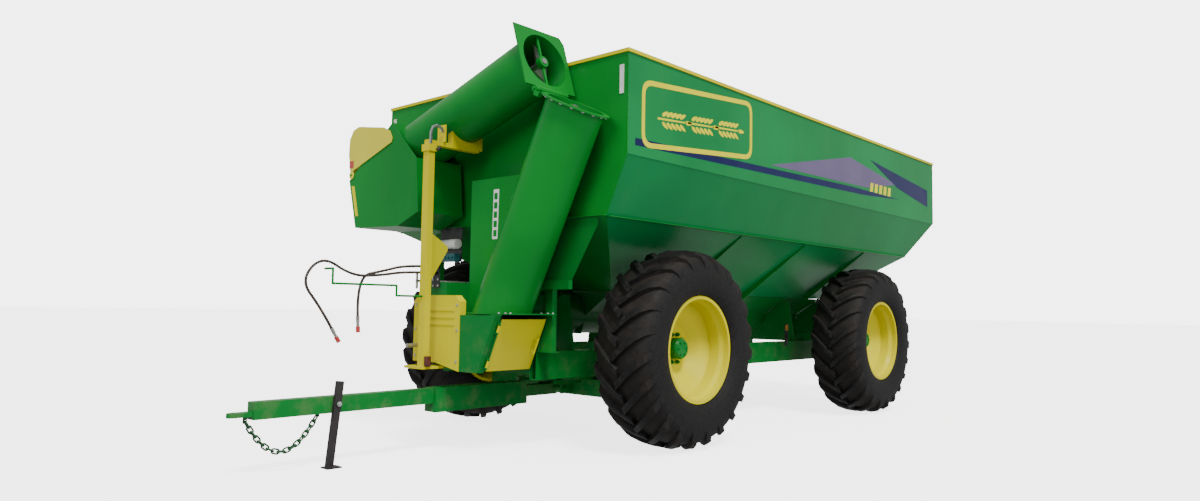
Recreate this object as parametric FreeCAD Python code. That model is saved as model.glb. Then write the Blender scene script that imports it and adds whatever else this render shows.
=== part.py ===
"""Grain cart: four-wheel self-unloading wagon with a folding corner auger.

Frame: millimetres, +Z up, -Y towards the hitch, +X the cart's left side (the auger's side).
The origin is on the ground under the centre of the whole machine.
Each piece is written to parts/NODE.step, already in its place.
"""
import math
import os

import FreeCAD
import Part

V = FreeCAD.Vector
os.makedirs("parts", exist_ok=True)

# ---------------------------------------------------------------- driving dimensions
AXLE_F = -1101.0          # y of the front axle
WHEELBASE = 3830.0
AXLE_R = AXLE_F + WHEELBASE
TYRE_OD = 1750.0
TYRE_W = 600.0
TRACK = 2740.0            # between the tyres' centre planes
HUB_Z = TYRE_OD / 2
RIM_R = 455.0             # visible edge of the rim

HOP_W = 1630.0            # half width over the upper side panels
RIM_Z = 3265.0            # top of the hopper walls
SHOULDER_Z = 2446.0       # lower edge of the vertical side panels
KNUCKLE_X = 1420.0        # folded edge between the two lower side panels
KNUCKLE_Z = 1968.0
FLOOR_X = 545.0           # half width of the hopper's lower edge
FLOOR_Z = 1385.0
HOP_F = AXLE_F - 1035.0   # outer face of the front wall
HOP_R = AXLE_F + 5560.0   # outer face of the rear wall's upper part
FRONT_B = AXLE_F + 50.0   # front slope at the floor's height
REAR_K = AXLE_F + 5080.0  # rear wall at the knuckle's height
REAR_B = AXLE_F + 4420.0  # rear wall at the floor's height
SHEET = 5.0               # hopper sheet

RAIL_X = 600.0            # chassis rails, centre plane
RAIL_Z0 = 600.0
RAIL_Z1 = 840.0

TUBE_Y = AXLE_F - 1345.0  # plane of both auger tubes
TUBE_R = 238.0            # outer radius of the auger tubes
TUBE_T = 5.0
LEAN = 26.5               # lower tube from the vertical, towards +X
FOLD_X = 1090.0           # fold hinge
FOLD_Z = 2950.0
FLANGE_OFF = 300.0        # fold hinge to tube axis
REST_TILT = 17.5          # folded tube below the horizontal
FOLD_ANGLE = 180.0 + REST_TILT - (90.0 - LEAN)

BAR_Z = 440.0             # drawbar pivot and hitch height
HITCH_Y = AXLE_F - 3330.0
HITCH_R = 16.0            # hitch eye bore radius


# ---------------------------------------------------------------- helpers
def box(x0, x1, y0, y1, z0, z1):
    return Part.makeBox(x1 - x0, y1 - y0, z1 - z0, V(x0, y0, z0))


def cyl(p, d, r, h):
    return Part.makeCylinder(r, h, V(*p), V(*d))


def ring(p, d, r_out, r_in, h):
    return cyl(p, d, r_out, h).cut(cyl(p, d, r_in, h))


def face(points):
    return Part.Face(Part.makePolygon([V(*p) for p in points] + [V(*points[0])]))


def plate(points, push):
    """Flat plate from a polygon, thickened along the vector push."""
    return face(points).extrude(V(*push))


def plate_y(points, y0, y1):
    """Plate in a plane of constant y from (x, z) points."""
    return plate([(x, y0, z) for x, z in points], (0, y1 - y0, 0))


def plate_x(points, x0, x1):
    """Plate in a plane of constant x from (y, z) points."""
    return plate([(x0, y, z) for y, z in points], (x1 - x0, 0, 0))


def plate_z(points, z0, z1):
    return plate([(x, y, z0) for x, y in points], (0, 0, z1 - z0))


def fuse(shapes):
    out = shapes[0].multiFuse(shapes[1:]) if len(shapes) > 1 else shapes[0]
    return out.removeSplitter()


def mirror_x(shape):
    return shape.mirror(V(0, 0, 0), V(1, 0, 0))


def both_sides(shapes):
    return shapes + [mirror_x(s) for s in shapes]


def revolve_x(points, centre_x, y, z):
    """Solid of revolution about a line along X; points are (x offset, radius)."""
    poly = face([(centre_x + dx, y, z + r) for dx, r in points])
    return poly.revolve(V(centre_x, y, z), V(1, 0, 0), 360)


def turned(shape, axis_point, axis, degrees):
    s = shape.copy()
    s.rotate(V(*axis_point), V(*axis), degrees)
    return s


def save(name, shapes):
    """Write one node; several solids in it stay separate solids."""
    if not isinstance(shapes, list):
        shapes = [shapes]
    solids = [s for shape in shapes for s in shape.Solids]
    for s in solids:
        if not s.isValid() or s.Volume <= 0:
            print("CHECK", name, s.isValid(), s.Volume)
    out = solids[0] if len(solids) == 1 else Part.makeCompound(solids)
    out.exportStep("parts/" + name + ".step")
    volume = sum(s.Volume for s in solids)
    b = out.BoundBox
    print("%-18s solids %3d  volume %8.1f cm3  x %6.0f %6.0f  y %6.0f %6.0f  z %6.0f %6.0f" % (
        name, len(solids), volume / 1000, b.XMin, b.XMax, b.YMin, b.YMax, b.ZMin, b.ZMax))


# ---------------------------------------------------------------- hopper
def rear_y(z):
    """Outer face of the rear wall at a height."""
    if z >= SHOULDER_Z:
        return HOP_R
    if z >= KNUCKLE_Z:
        return HOP_R + (z - SHOULDER_Z) / (KNUCKLE_Z - SHOULDER_Z) * (REAR_K - HOP_R)
    return REAR_K + (z - KNUCKLE_Z) / (FLOOR_Z - KNUCKLE_Z) * (REAR_B - REAR_K)


PROFILE = [(HOP_W, RIM_Z), (HOP_W, SHOULDER_Z), (KNUCKLE_X, KNUCKLE_Z), (FLOOR_X, FLOOR_Z)]


def side_sheet(i, y0=HOP_F + SHEET + 1):
    """One flat panel of the left side between profile corners i and i + 1, on its inner side."""
    (x0, z0), (x1, z1) = PROFILE[i], PROFILE[i + 1]
    length = math.hypot(x1 - x0, z1 - z0)
    push = (-(z0 - z1) / length * SHEET, 0, (x0 - x1) / length * SHEET)
    gap = SHEET + 1
    y1 = y0 if i < 2 else FRONT_B + SHEET + 3
    points = [(x0, y0, z0), (x0, rear_y(z0) - gap, z0), (x1, rear_y(z1) - gap, z1), (x1, y1, z1)]
    return plate(points, push)


AUGER_Z = 1175.0          # floor auger axis
TROUGH_R = 210.0
wall_left = PROFILE[:3]
front_wall = plate_y(wall_left + [(-x, z) for x, z in reversed(wall_left)], HOP_F, HOP_F + SHEET)
front_lip = box(-KNUCKLE_X, KNUCKLE_X, HOP_F - 34, HOP_F, KNUCKLE_Z - 2, KNUCKLE_Z + 4)
front_wall = fuse([front_wall, front_lip])
slant = math.hypot(FRONT_B - HOP_F, KNUCKLE_Z - FLOOR_Z)
front_slope = plate([(-KNUCKLE_X, HOP_F, KNUCKLE_Z), (KNUCKLE_X, HOP_F, KNUCKLE_Z),
                     (FLOOR_X, FRONT_B, FLOOR_Z), (-FLOOR_X, FRONT_B, FLOOR_Z)],
                    (0, (KNUCKLE_Z - FLOOR_Z) / slant * SHEET, (FRONT_B - HOP_F) / slant * SHEET))
GATE_ROD = (-330.0, 1440.0)
front_slope = front_slope.cut(cyl((GATE_ROD[0], HOP_F - 10, GATE_ROD[1]), (0, 1, 0), 11.5, 2000))


def rear_sheet(i):
    (x0, z0), (x1, z1) = PROFILE[i], PROFILE[i + 1]
    y0, y1 = rear_y(z0 - 0.001), rear_y(z1)
    length = math.hypot(y1 - y0, z1 - z0)
    push = (0, -(z0 - z1) / length * SHEET, (y0 - y1) / length * SHEET)
    return plate([(-x0, y0, z0), (x0, y0, z0), (x1, y1, z1), (-x1, y1, z1)], push)


def trimmed(shapes):
    """Each shape with the earlier ones cut away, so that neighbours only touch."""
    done = []
    for shape in shapes:
        for other in done:
            if shape.BoundBox.intersect(other.BoundBox):
                shape = shape.cut(other)
        done.append(shape)
    return done


sheets = [front_wall, rear_sheet(0), rear_sheet(1), rear_sheet(2), front_slope]
for i in range(3):
    sheets += both_sides([side_sheet(i)])
sheets = trimmed(sheets)
save("hopper_front", [sheets[0], sheets[4]])
save("hopper_rear", sheets[1:4])
for i, row in ((0, "upper"), (1, "middle"), (2, "lower")):
    save("side_%s" % row, sheets[5 + 2 * i:7 + 2 * i])

# Top rail: a flat bar folded outwards over the rim, all the way round.
rim_bars = both_sides([box(HOP_W - 40, HOP_W + 12, HOP_F - 12, HOP_R + 12, RIM_Z, RIM_Z + 30)])
for y in (HOP_F - 12, HOP_R - 40):
    rim_bars.append(box(-HOP_W + 40, HOP_W - 40, y, y + 52, RIM_Z, RIM_Z + 30))
save("rim_rail", fuse(rim_bars))

# Folded flange along the knuckle, and the gussets under it.
KN_R = rear_y(KNUCKLE_Z) - 40
LIP_Y = HOP_F + 20
flange = plate([(KNUCKLE_X - 3, LIP_Y, KNUCKLE_Z - 2), (KNUCKLE_X + 32, LIP_Y, KNUCKLE_Z - 2),
                (KNUCKLE_X + 32, LIP_Y, KNUCKLE_Z - 8), (KNUCKLE_X - 12, LIP_Y, KNUCKLE_Z - 8)],
               (0, KN_R - HOP_F - 20, 0))

FALL = (KNUCKLE_Z - FLOOR_Z) / (KNUCKLE_X - FLOOR_X)
ribs = []
for y in (AXLE_F + 1010, AXLE_F + 2320, AXLE_F + 3830):
    # a strip under the lower side panel, deeper towards the bottom
    x0, x1 = KNUCKLE_X - 20, FLOOR_X + 25
    z0 = KNUCKLE_Z - (KNUCKLE_X - x0) * FALL
    z1 = KNUCKLE_Z - (KNUCKLE_X - x1) * FALL
    outline = [(x0, z0), (x0, z0 - 12), (x1 + 40, z1 - 50), (x1, z1 - 50), (x1, z1)]
    ribs.append(plate_y(outline, y - 5, y + 5))
save("side_ribs", both_sides(ribs + [flange]))

# Cross braces and a ridge over the floor auger, inside the hopper.
braces = []
for y in (AXLE_F + 900, AXLE_F + 2400, AXLE_F + 3900):
    braces.append(cyl((-HOP_W + SHEET, y, 2560), (1, 0, 0), 38, 2 * HOP_W - 2 * SHEET))
ridge = plate_y([(-150, 1560), (0, 1690), (150, 1560), (144, 1556), (0, 1681), (-144, 1556)],
                HOP_F + 800, rear_y(1556) - 20)
save("inner_braces", braces + [ridge])

# ---------------------------------------------------------------- trough, floor auger and gate
TR0, TR1 = FRONT_B, REAR_B - 6
TROUGH_TOP = FLOOR_Z - 6
OUTER_L, OUTER_R = V(-TROUGH_R, TR0, AUGER_Z), V(TROUGH_R, TR0, AUGER_Z)
INNER_L, INNER_R = V(-TROUGH_R + 5, TR0, AUGER_Z + 3), V(TROUGH_R - 5, TR0, AUGER_Z + 3)
EDGE_L = [V(-FLOOR_X + 16, TR0, TROUGH_TOP), V(-FLOOR_X + 8, TR0, TROUGH_TOP)]
EDGE_R = [V(FLOOR_X - 8, TR0, TROUGH_TOP), V(FLOOR_X - 16, TR0, TROUGH_TOP)]
trough_wire = Part.Wire([Part.Arc(OUTER_L, V(0, TR0, AUGER_Z - TROUGH_R), OUTER_R).toShape(),
                         Part.makeLine(OUTER_R, EDGE_R[0]),
                         Part.makeLine(EDGE_R[0], EDGE_R[1]),
                         Part.makeLine(EDGE_R[1], INNER_R),
                         Part.Arc(INNER_R, V(0, TR0, AUGER_Z - TROUGH_R + 5), INNER_L).toShape(),
                         Part.makeLine(INNER_L, EDGE_L[0]),
                         Part.makeLine(EDGE_L[0], EDGE_L[1]),
                         Part.makeLine(EDGE_L[1], OUTER_L)])
trough = Part.Face(trough_wire).extrude(V(0, TR1 - TR0, 0))
end_points = [(FLOOR_X - 8, FLOOR_Z - 6), (TROUGH_R, AUGER_Z - 30), (150, AUGER_Z - TROUGH_R),
              (-150, AUGER_Z - TROUGH_R), (-TROUGH_R, AUGER_Z - 30), (-FLOOR_X + 8, FLOOR_Z - 6)]
trough_end = plate_y(end_points, TR1, TR1 + 6).cut(cyl((0, TR1 - 5, AUGER_Z), (0, 1, 0), 30.05, 20))
bearing = ring((0, TR1 + 6, AUGER_Z), (0, 1, 0), 75, 30.05, 30)
trough_front = plate_y(end_points, FRONT_B - 5, FRONT_B)
trough_front = trough_front.cut(cyl((0, FRONT_B - 20, AUGER_Z), (0, 1, 0), TROUGH_R - 5, 40))
feed_tube = ring((0, HOP_F, AUGER_Z), (0, 1, 0), TROUGH_R, TROUGH_R - 5, FRONT_B - 5 - HOP_F)
save("trough", [trough, fuse([trough_end, bearing]), trough_front, feed_tube])


def screw(length, r_shaft, r_flight, pitch, thick, start, stop, sides=10):
    """Auger along +Z from the origin: a shaft with flat-sided flighting, one closed solid."""
    shaft = Part.makeCylinder(r_shaft, length)
    steps = int(round((stop - start) / pitch * sides))
    dz = (stop - start) / steps
    r_in = r_shaft * 0.8
    faces = []
    rows = []
    for k in range(steps + 1):
        a = 2 * math.pi * k / sides
        z = start + k * dz
        c, s = math.cos(a), math.sin(a)
        rows.append([V(r_in * c, r_in * s, z - thick / 2), V(r_flight * c, r_flight * s, z - thick / 2),
                     V(r_flight * c, r_flight * s, z + thick / 2), V(r_in * c, r_in * s, z + thick / 2)])
    for a, b in zip(rows[:-1], rows[1:]):
        for i in range(4):
            j = (i + 1) % 4
            faces.append(Part.Face(Part.makePolygon([a[i], a[j], b[j], a[i]])))
            faces.append(Part.Face(Part.makePolygon([a[i], b[j], b[i], a[i]])))
    for row in (rows[0], rows[-1]):
        faces.append(Part.Face(Part.makePolygon(row + [row[0]])))
    flight = Part.Solid(Part.makeShell(faces))
    if flight.Volume < 0:
        flight.reverse()
    return shaft.fuse(flight)


def place(shape, start, direction):
    s = shape.copy()
    s.Placement = FreeCAD.Placement(V(*start), FreeCAD.Rotation(V(0, 0, 1), V(*direction)))
    return s


floor_len = TR1 + 36 - (HOP_F - 570)
floor_screw = screw(floor_len, 30, TROUGH_R - 20, 380, 8, 585, floor_len - 60)
floor_screw = place(floor_screw, (0, HOP_F - 300 - 270, AUGER_Z), (0, 1, 0))

# ---------------------------------------------------------------- auger tubes
UP = (math.sin(math.radians(LEAN)), 0, math.cos(math.radians(LEAN)))
ACROSS = (UP[2], 0, -UP[0])
FOLD = (-math.cos(math.radians(REST_TILT)), 0, -math.sin(math.radians(REST_TILT)))
OVER = (FOLD[2], 0, -FOLD[0])
ALONG_Y = (0, 1, 0)


def along(p, *moves):
    """Point p moved by (distance, direction) pairs."""
    x, y, z = p
    for distance, d in moves:
        x, y, z = x + distance * d[0], y + distance * d[1], z + distance * d[2]
    return (x, y, z)


HINGE = (FOLD_X, TUBE_Y, FOLD_Z)
LOW_TOP = along(HINGE, (FLANGE_OFF, ACROSS))      # centre of the lower tube's flange face
MOUTH = along(HINGE, (FLANGE_OFF, OVER))          # centre of the folded tube's flange face
BOOT_TOP = 1160.0
FLIGHT_R = 205.0
low_len = (LOW_TOP[2] - BOOT_TOP) / UP[2] + 150



def fold_web(y, width, near, out, reach, depth):
    """Block joining a fold knuckle to its flange: near, out are (distance, direction) steps from the hinge."""
    start = along((FOLD_X, y, FOLD_Z), near, out)
    corners = [start, along(start, reach), along(start, reach, depth), along(start, depth)]
    return plate(corners, (0, width, 0))


low_tube = ring(along(LOW_TOP, (-low_len, UP)), UP, TUBE_R, TUBE_R - TUBE_T, low_len - 12)
low_tube = low_tube.cut(box(-900, 1500, TUBE_Y - 400, TUBE_Y + 400, 500, BOOT_TOP))

# Flange of the lower tube: a disc with the fold hinge's outer knuckles.
disc = ring(along(LOW_TOP, (-12, UP)), UP, 285, TUBE_R - TUBE_T, 12)
low_knuckles = []
for y in (TUBE_Y - 200, TUBE_Y + 110):
    knuckle = cyl((FOLD_X, y, FOLD_Z), (0, 1, 0), 28, 50)
    knuckle = knuckle.fuse(fold_web(y, 50, (10, ACROSS), (-50, UP), (38, UP), (60, ACROSS)))
    low_knuckles.append(knuckle.cut(cyl((FOLD_X, y - 5, FOLD_Z), (0, 1, 0), 12, 60)))
clear = cyl(along(LOW_TOP, (-90, UP)), UP, TUBE_R - TUBE_T, 120)
disc = disc.cut(cyl((FOLD_X, TUBE_Y - 150, FOLD_Z), (0, 1, 0), 31, 260))
flange_low = fuse([disc] + [k.cut(clear) for k in low_knuckles])
fold_pin = cyl((FOLD_X, TUBE_Y - 215, FOLD_Z), (0, 1, 0), 12, 390)

UP_LEN = 1850.0
up_tube = ring(along(MOUTH, (12, FOLD)), FOLD, TUBE_R, TUBE_R - TUBE_T, UP_LEN - 12)
save("upper_tube", up_tube)
HALF = 280.0
square_corners = [(HALF, -HALF), (HALF, HALF - 40), (HALF - 60, HALF), (-HALF + 12, HALF), (-HALF + 12, -HALF)]
square = plate([along(MOUTH, (o, OVER), (y, ALONG_Y)) for o, y in square_corners], [12 * c for c in FOLD])
square = square.cut(cyl(along(MOUTH, (-5, FOLD)), FOLD, TUBE_R - TUBE_T, 30))
up_knuckle = cyl((FOLD_X, TUBE_Y - 148, FOLD_Z), (0, 1, 0), 28, 256)
up_knuckle = up_knuckle.fuse(fold_web(TUBE_Y - 148, 256, (8, FOLD), (0, OVER), (40, FOLD), (58, OVER)))
up_knuckle = up_knuckle.cut(cyl((FOLD_X, TUBE_Y - 160, FOLD_Z), (0, 1, 0), 12.05, 320))
up_knuckle = up_knuckle.cut(cyl(along(MOUTH, (-5, FOLD)), FOLD, TUBE_R - TUBE_T, 100))
up_knuckle = up_knuckle.cut(cyl(along(MOUTH, (12, FOLD)), FOLD, TUBE_R, 100))
upper_flange = fuse([square, up_knuckle])


def hanger(centre, axis):
    """Cross bar with a shaft bearing inside a tube's mouth."""
    bar = box(-TUBE_R + TUBE_T, TUBE_R - TUBE_T, -10, 10, 30, 45)
    hub = cyl((0, 0, 12), (0, 0, 1), 48, 48)
    shape = bar.fuse(hub).common(cyl((0, 0, 0), (0, 0, 1), TUBE_R - TUBE_T, 100))
    shape = shape.cut(cyl((0, 0, -1), (0, 0, 1), 25.05, 100)).removeSplitter()
    return place(shape, centre, axis)


down = tuple(-c for c in UP)
save("lower_flange", [flange_low, fold_pin, hanger(LOW_TOP, down)])

# Inclined screw in the lower tube, from the gearbox under the boot to the flange.
GEAR_Z = 775.0
foot_len = (LOW_TOP[2] - GEAR_Z) / UP[2] - 35
low_screw = screw(foot_len, 25, FLIGHT_R, 400, 8, 190, foot_len - 80)
save("lower_auger", place(low_screw, along(LOW_TOP, (-foot_len - 5, UP)), UP))
up_screw = screw(UP_LEN + 500, 25, FLIGHT_R, 400, 8, 85, UP_LEN + 60)
save("upper_auger", place(up_screw, along(MOUTH, (5, FOLD)), FOLD))

# ---------------------------------------------------------------- fold cylinder
# It stands behind the tubes: lug on the lower tube, barrel, rod with an open fork, lug on the upper flange.
CYL_Y = TUBE_Y + 225
LUG_T = 8.0
fold_lug_at = [(12, 36), (12, 200), (70, 150), (150, -50), (121, -75), (98, -62), (94, -20)]
upper_lug = plate([along((FOLD_X, CYL_Y - LUG_T, FOLD_Z), (f, FOLD), (o, OVER)) for f, o in fold_lug_at],
                  (0, 2 * LUG_T, 0))
EYE = along((FOLD_X, CYL_Y, FOLD_Z), (121, FOLD), (-47, OVER))
upper_lug = upper_lug.cut(cyl(along(EYE, (-20, ALONG_Y)), ALONG_Y, 14, 40))
save("upper_flange", [fuse([upper_flange, upper_lug]), hanger(MOUTH, FOLD)])
BASE = along((FOLD_X, CYL_Y, FOLD_Z), (-750, UP), (-40, ACROSS))
base_lug = plate([along(BASE, (-LUG_T, (0, 1, 0)), (u, UP), (a, ACROSS))
                  for u, a in ((-26, -26), (26, -26), (70, 250), (-70, 250))], (0, 2 * LUG_T, 0))
base_lug = base_lug.fuse(cyl(along(BASE, (-26, (0, 1, 0))), (0, 1, 0), 14, 52))
base_lug = base_lug.cut(cyl(along(LOW_TOP, (-low_len, UP)), UP, TUBE_R - TUBE_T / 2, low_len))
save("lower_tube", low_tube.fuse(base_lug).removeSplitter())
c_vec = [EYE[i] - BASE[i] for i in range(3)]
CYL_C = math.sqrt(sum(c * c for c in c_vec))
CYL_D = tuple(c / CYL_C for c in c_vec)
CYL_N = (CYL_D[2], 0, -CYL_D[0])
BARREL = CYL_C - 115
barrel = ring(along(BASE, (45, CYL_D)), CYL_D, 32, 25, BARREL - 45)
barrel = barrel.fuse([cyl(along(BASE, (38, CYL_D)), CYL_D, 32, 12),
                      ring(along(BASE, (BARREL - 30, CYL_D)), CYL_D, 36, 16.05, 30)])
fork = []
for y in (-25, 9):
    ear = plate([along(BASE, (y, (0, 1, 0)), (u, CYL_D), (n, CYL_N))
                 for u, n in ((-18, -18), (-18, 18), (44, 24), (44, -24))], (0, 16, 0))
    fork.append(ear)
barrel = fuse([barrel] + fork).cut(cyl(along(BASE, (-30, (0, 1, 0))), (0, 1, 0), 14.05, 60))
save("fold_barrel", barrel)
fold_rod = cyl(along(BASE, (90, CYL_D)), CYL_D, 16, CYL_C - 90 - 34)
piston = cyl(along(BASE, (80, CYL_D)), CYL_D, 24.95, 30)
tip = []
for y in (-24, 9):
    tip.append(plate([along(EYE, (y, (0, 1, 0)), (u, CYL_D), (n, CYL_N))
                      for u, n in ((-50, -20), (-50, 20), (14, 16), (14, -16))], (0, 15, 0)))
yoke = plate([along(EYE, (-24, (0, 1, 0)), (u, CYL_D), (n, CYL_N))
              for u, n in ((-50, -20), (-50, 20), (-34, 20), (-34, -20))], (0, 48, 0))
save("fold_rod", fuse([fold_rod, piston, yoke] + tip))
turn = math.radians(FOLD_ANGLE)


def swung(p, c, angle):
    """Point p turned about +Y through c by angle, in x and z."""
    dx, dz = p[0] - c[0], p[2] - c[2]
    return (c[0] + dx * math.cos(angle) + dz * math.sin(angle), p[1],
            c[2] - dx * math.sin(angle) + dz * math.cos(angle))


eye_out = swung(EYE, HINGE, turn)
out_vec = [eye_out[0] - BASE[0], eye_out[2] - BASE[2]]
STROKE = math.hypot(*out_vec) - CYL_C
SWING = math.atan2(out_vec[0], out_vec[1]) - math.atan2(c_vec[0], c_vec[2])
print("fold angle deg %.3f stroke mm %.3f swing deg %.4f closed %.1f" % (
    FOLD_ANGLE, STROKE, math.degrees(SWING), CYL_C))

# ---------------------------------------------------------------- head of the folding tube
Y0, Y1 = TUBE_Y - 246, TUBE_Y + 246
tube_end = along(MOUTH, (UP_LEN, FOLD))
top_joint = along(MOUTH, (UP_LEN - 60, FOLD), (TUBE_R, OVER))
low_joint = along(MOUTH, (UP_LEN - 330, FOLD), (-TUBE_R, OVER))
head = [(-1490, 2440), (-1355, 1965), (-640, 1945), (-330, 2060), (low_joint[0], low_joint[2]),
        (top_joint[0], top_joint[2])]
head_cut = cyl(along(MOUTH, (UP_LEN - 500, FOLD)), FOLD, TUBE_R, 500)
cheek_front = plate_y(head, Y0 - 5, Y0)
cheek_back = plate_y(head, Y1, Y1 + 5)


def strip(a, b, y0, y1, t=5.0):
    """Flat strip between two (x, z) points, thickened to the right of the way a to b."""
    length = math.hypot(b[0] - a[0], b[1] - a[1])
    push = ((b[1] - a[1]) / length * t, 0, -(b[0] - a[0]) / length * t)
    return plate([(a[0], y0, a[1]), (b[0], y0, b[1]), (b[0], y1, b[1]), (a[0], y1, a[1])], push)


skirt = [strip(head[i + 1], head[i], Y0, Y1) for i in range(4)]


def cross_plate(centre, below, above, thick):
    """Plate square to the folded tube, from cheek to cheek."""
    corners = [(below, Y0 - TUBE_Y), (above, Y0 - TUBE_Y), (above, Y1 - TUBE_Y), (below, Y1 - TUBE_Y)]
    return plate([along(centre, (o, OVER), (y, ALONG_Y)) for o, y in corners], [thick * c for c in FOLD])


head_collar = cross_plate(along(tube_end, (-60, FOLD)), -TUBE_R - 8, TUBE_R + 2, 6)
head_collar = head_collar.cut(cyl(along(tube_end, (-100, FOLD)), FOLD, TUBE_R, 200))

# End bearing of the folding screw, on a bar across the cheeks.
bear = along(MOUTH, (UP_LEN + 440, FOLD))
end_bearing = cross_plate(bear, -40, 40, 12).fuse(cyl(bear, FOLD, 50, 34))
end_bearing = end_bearing.cut(cyl(along(bear, (-5, FOLD)), FOLD, 25.05, 60)).removeSplitter()

# Deflector: a rounded hood hinged at the far end of the head's open side.
DEF = (-1440.0, 2490.0)
hood = [(-1462, 2500), (-1500, 2700), (-1490, 2850), (-1430, 2935), (-1330, 2960), (-900, 2895),
        (-800, 2850), (-760, 2780), (-770, 2740)]
hood_low = [(-1405, 2535)]
hood_sheets = [strip(hood[i], hood[i + 1], Y0 - 9, Y1 + 9) for i in range(4)]
for y in (Y0 - 14, Y1 + 9):
    cheek = plate_y(hood + hood_low, y, y + 5)
    hood_sheets.append(cheek.fuse(cyl((DEF[0], y, DEF[1]), ALONG_Y, 40, 5)))
save("deflector", fuse(hood_sheets).cut(cyl((DEF[0], Y0 - 50, DEF[1]), ALONG_Y, 10.05, 700)))

# Cheeks of the head, each with an ear and the deflector's pin.
ear_corners = [(-1462, 2440), (-1456, 2492), (-1440, 2508), (-1410, 2508), (-1396, 2462)]
head_cheeks = []
for cheek, ear_y, pin_y in ((cheek_front, Y0 - 5, Y0 - 24), (cheek_back, Y1, Y1 + 5)):
    deflector_pin = cyl((DEF[0], pin_y, DEF[1]), ALONG_Y, 10, 19)
    head_cheeks.append(fuse([cheek, deflector_pin, plate_y(ear_corners, ear_y, ear_y + 5)]))
save("head_shell", head_cheeks + [fuse(skirt).cut(head_cut), head_collar, end_bearing])
save("head_reflector", box(-1478, -1408, Y0 - 17, Y0 - 14.3, 2560, 2630))

# ---------------------------------------------------------------- boot, transfer box and drive
BF = TUBE_Y - 212        # front plate of the boot
BB = HOP_F               # back of the boot


def face_x(z):
    """Outer face of the boot's leaning side at a height."""
    return 575 + (z - 700) * 185 / 420


def boot_plate(x0, y0):
    """Front or back plate of the boot, 6 thick."""
    return plate_y([(x0, 680), (face_x(680), 680), (face_x(BOOT_TOP), BOOT_TOP), (x0, BOOT_TOP)], y0, y0 + 6)


boot_front = boot_plate(60, BF)
web_corners = [(68, BOOT_TOP + 8), (68, 2330), (1065, 2330), (500, BOOT_TOP + 8)]
tube_web = plate_y(web_corners, TUBE_Y + 30, TUBE_Y + 38)
tube_web = tube_web.cut(cyl(along(LOW_TOP, (-low_len - 300, UP)), UP, TUBE_R, low_len + 200))
web_solids = sorted(tube_web.Solids, key=lambda s: s.CenterOfMass.x)
save("tube_web", web_solids[0])
screw_hole = cyl(along(LOW_TOP, (-low_len - 600, UP)), UP, 60, 900)
boot_floor = box(60, face_x(850) - 4, BF + 6, BB - 6, 850, 856).cut(screw_hole)
boot_shell = [boot_plate(66, BB - 6), boot_floor, box(60, 66, BF + 6, BB, 680, 930)]
lid = box(60, 880, BF, BB, BOOT_TOP, BOOT_TOP + 8)
lid = lid.cut(cyl(along(LOW_TOP, (-low_len - 300, UP)), UP, TUBE_R, low_len))
transfer = [box(-256, -250, BF, BB, 924, 1426), box(-250, 60, BF, BF + 6, 930, 1420),
            box(-250, 60, BF, BB, 924, 930), box(-250, 60, BF, BB, 1420, 1426),
            box(60, 66, BF, BB, BOOT_TOP + 8, 1426), box(-250, 60, BB - 6, BB, 930, 1420),
            box(66, 262, BB - 6, BB, BOOT_TOP + 8, 1420)]
front_bore = cyl((0, BF - 10, AUGER_Z), (0, 1, 0), 30.05, 40)

# Chain drive in front of the boot: input shaft, floor auger and gearbox sprockets in one plane.
CHAIN_Y = BF - 40
PTO = (-170.0, 880.0)
GEAR_X = LOW_TOP[0] - (LOW_TOP[2] - GEAR_Z) * math.tan(math.radians(LEAN))
WHEELS = [(PTO[0], PTO[1], 70.0), (0.0, AUGER_Z, 110.0), (GEAR_X, GEAR_Z, 70.0)]


def sprocket(x, z, r, bore_r):
    return ring((x, CHAIN_Y - 6, z), (0, 1, 0), r, bore_r, 12)


def chain_outline(extra):
    """Closed loop of (x, z) points round the three sprockets, extra outside their radius."""
    pts = []
    for x, z, r in WHEELS:
        for k in range(72):
            a = 2 * math.pi * k / 72
            pts.append((x + (r + extra) * math.cos(a), z + (r + extra) * math.sin(a)))
    pts.sort()

    def half_hull(points):
        h = []
        for q in points:
            while len(h) > 1 and ((h[-1][0] - h[-2][0]) * (q[1] - h[-2][1])
                                  - (h[-1][1] - h[-2][1]) * (q[0] - h[-2][0])) <= 0:
                h.pop()
            h.append(q)
        return h[:-1]
    return half_hull(pts) + half_hull(pts[::-1])


chain = plate_y(chain_outline(13), CHAIN_Y - 9, CHAIN_Y + 9).cut(
    plate_y(chain_outline(1.2), CHAIN_Y - 12, CHAIN_Y + 12))
save("drive_chain", chain)
floor_sprocket = ring((0, CHAIN_Y - 6, AUGER_Z), (0, 1, 0), 110, 30, 12)
INPUT_R = 17.5            # free end that takes the drive shaft's yoke
INPUT_LEN = 140.0
SHAFT_R = 20.0            # in the sprocket and the bearing
input_shaft = cyl((PTO[0], CHAIN_Y - 190, PTO[1]), ALONG_Y, INPUT_R, INPUT_LEN)
input_shaft = input_shaft.fuse(cyl((PTO[0], CHAIN_Y - 190 + INPUT_LEN, PTO[1]), ALONG_Y, SHAFT_R, 230 - INPUT_LEN))
input_bearing = fuse([box(PTO[0] - 45, PTO[0] + 45, BF - 24, BF, PTO[1] - 45, PTO[1] + 45),
                      box(PTO[0] - 45, PTO[0] + 45, BF, BF + 40, PTO[1] - 45, 920)])
input_bearing = input_bearing.cut(cyl((PTO[0], BF - 60, PTO[1]), ALONG_Y, SHAFT_R + 0.05, 80))
gear_shaft = cyl((GEAR_X, CHAIN_Y - 14, GEAR_Z), (0, 1, 0), 20, 130)
save("floor_auger", [floor_screw, floor_sprocket])
gearbox = box(GEAR_X - 95, GEAR_X + 95, TUBE_Y - 150, TUBE_Y + 95, 690, 845)
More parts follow.
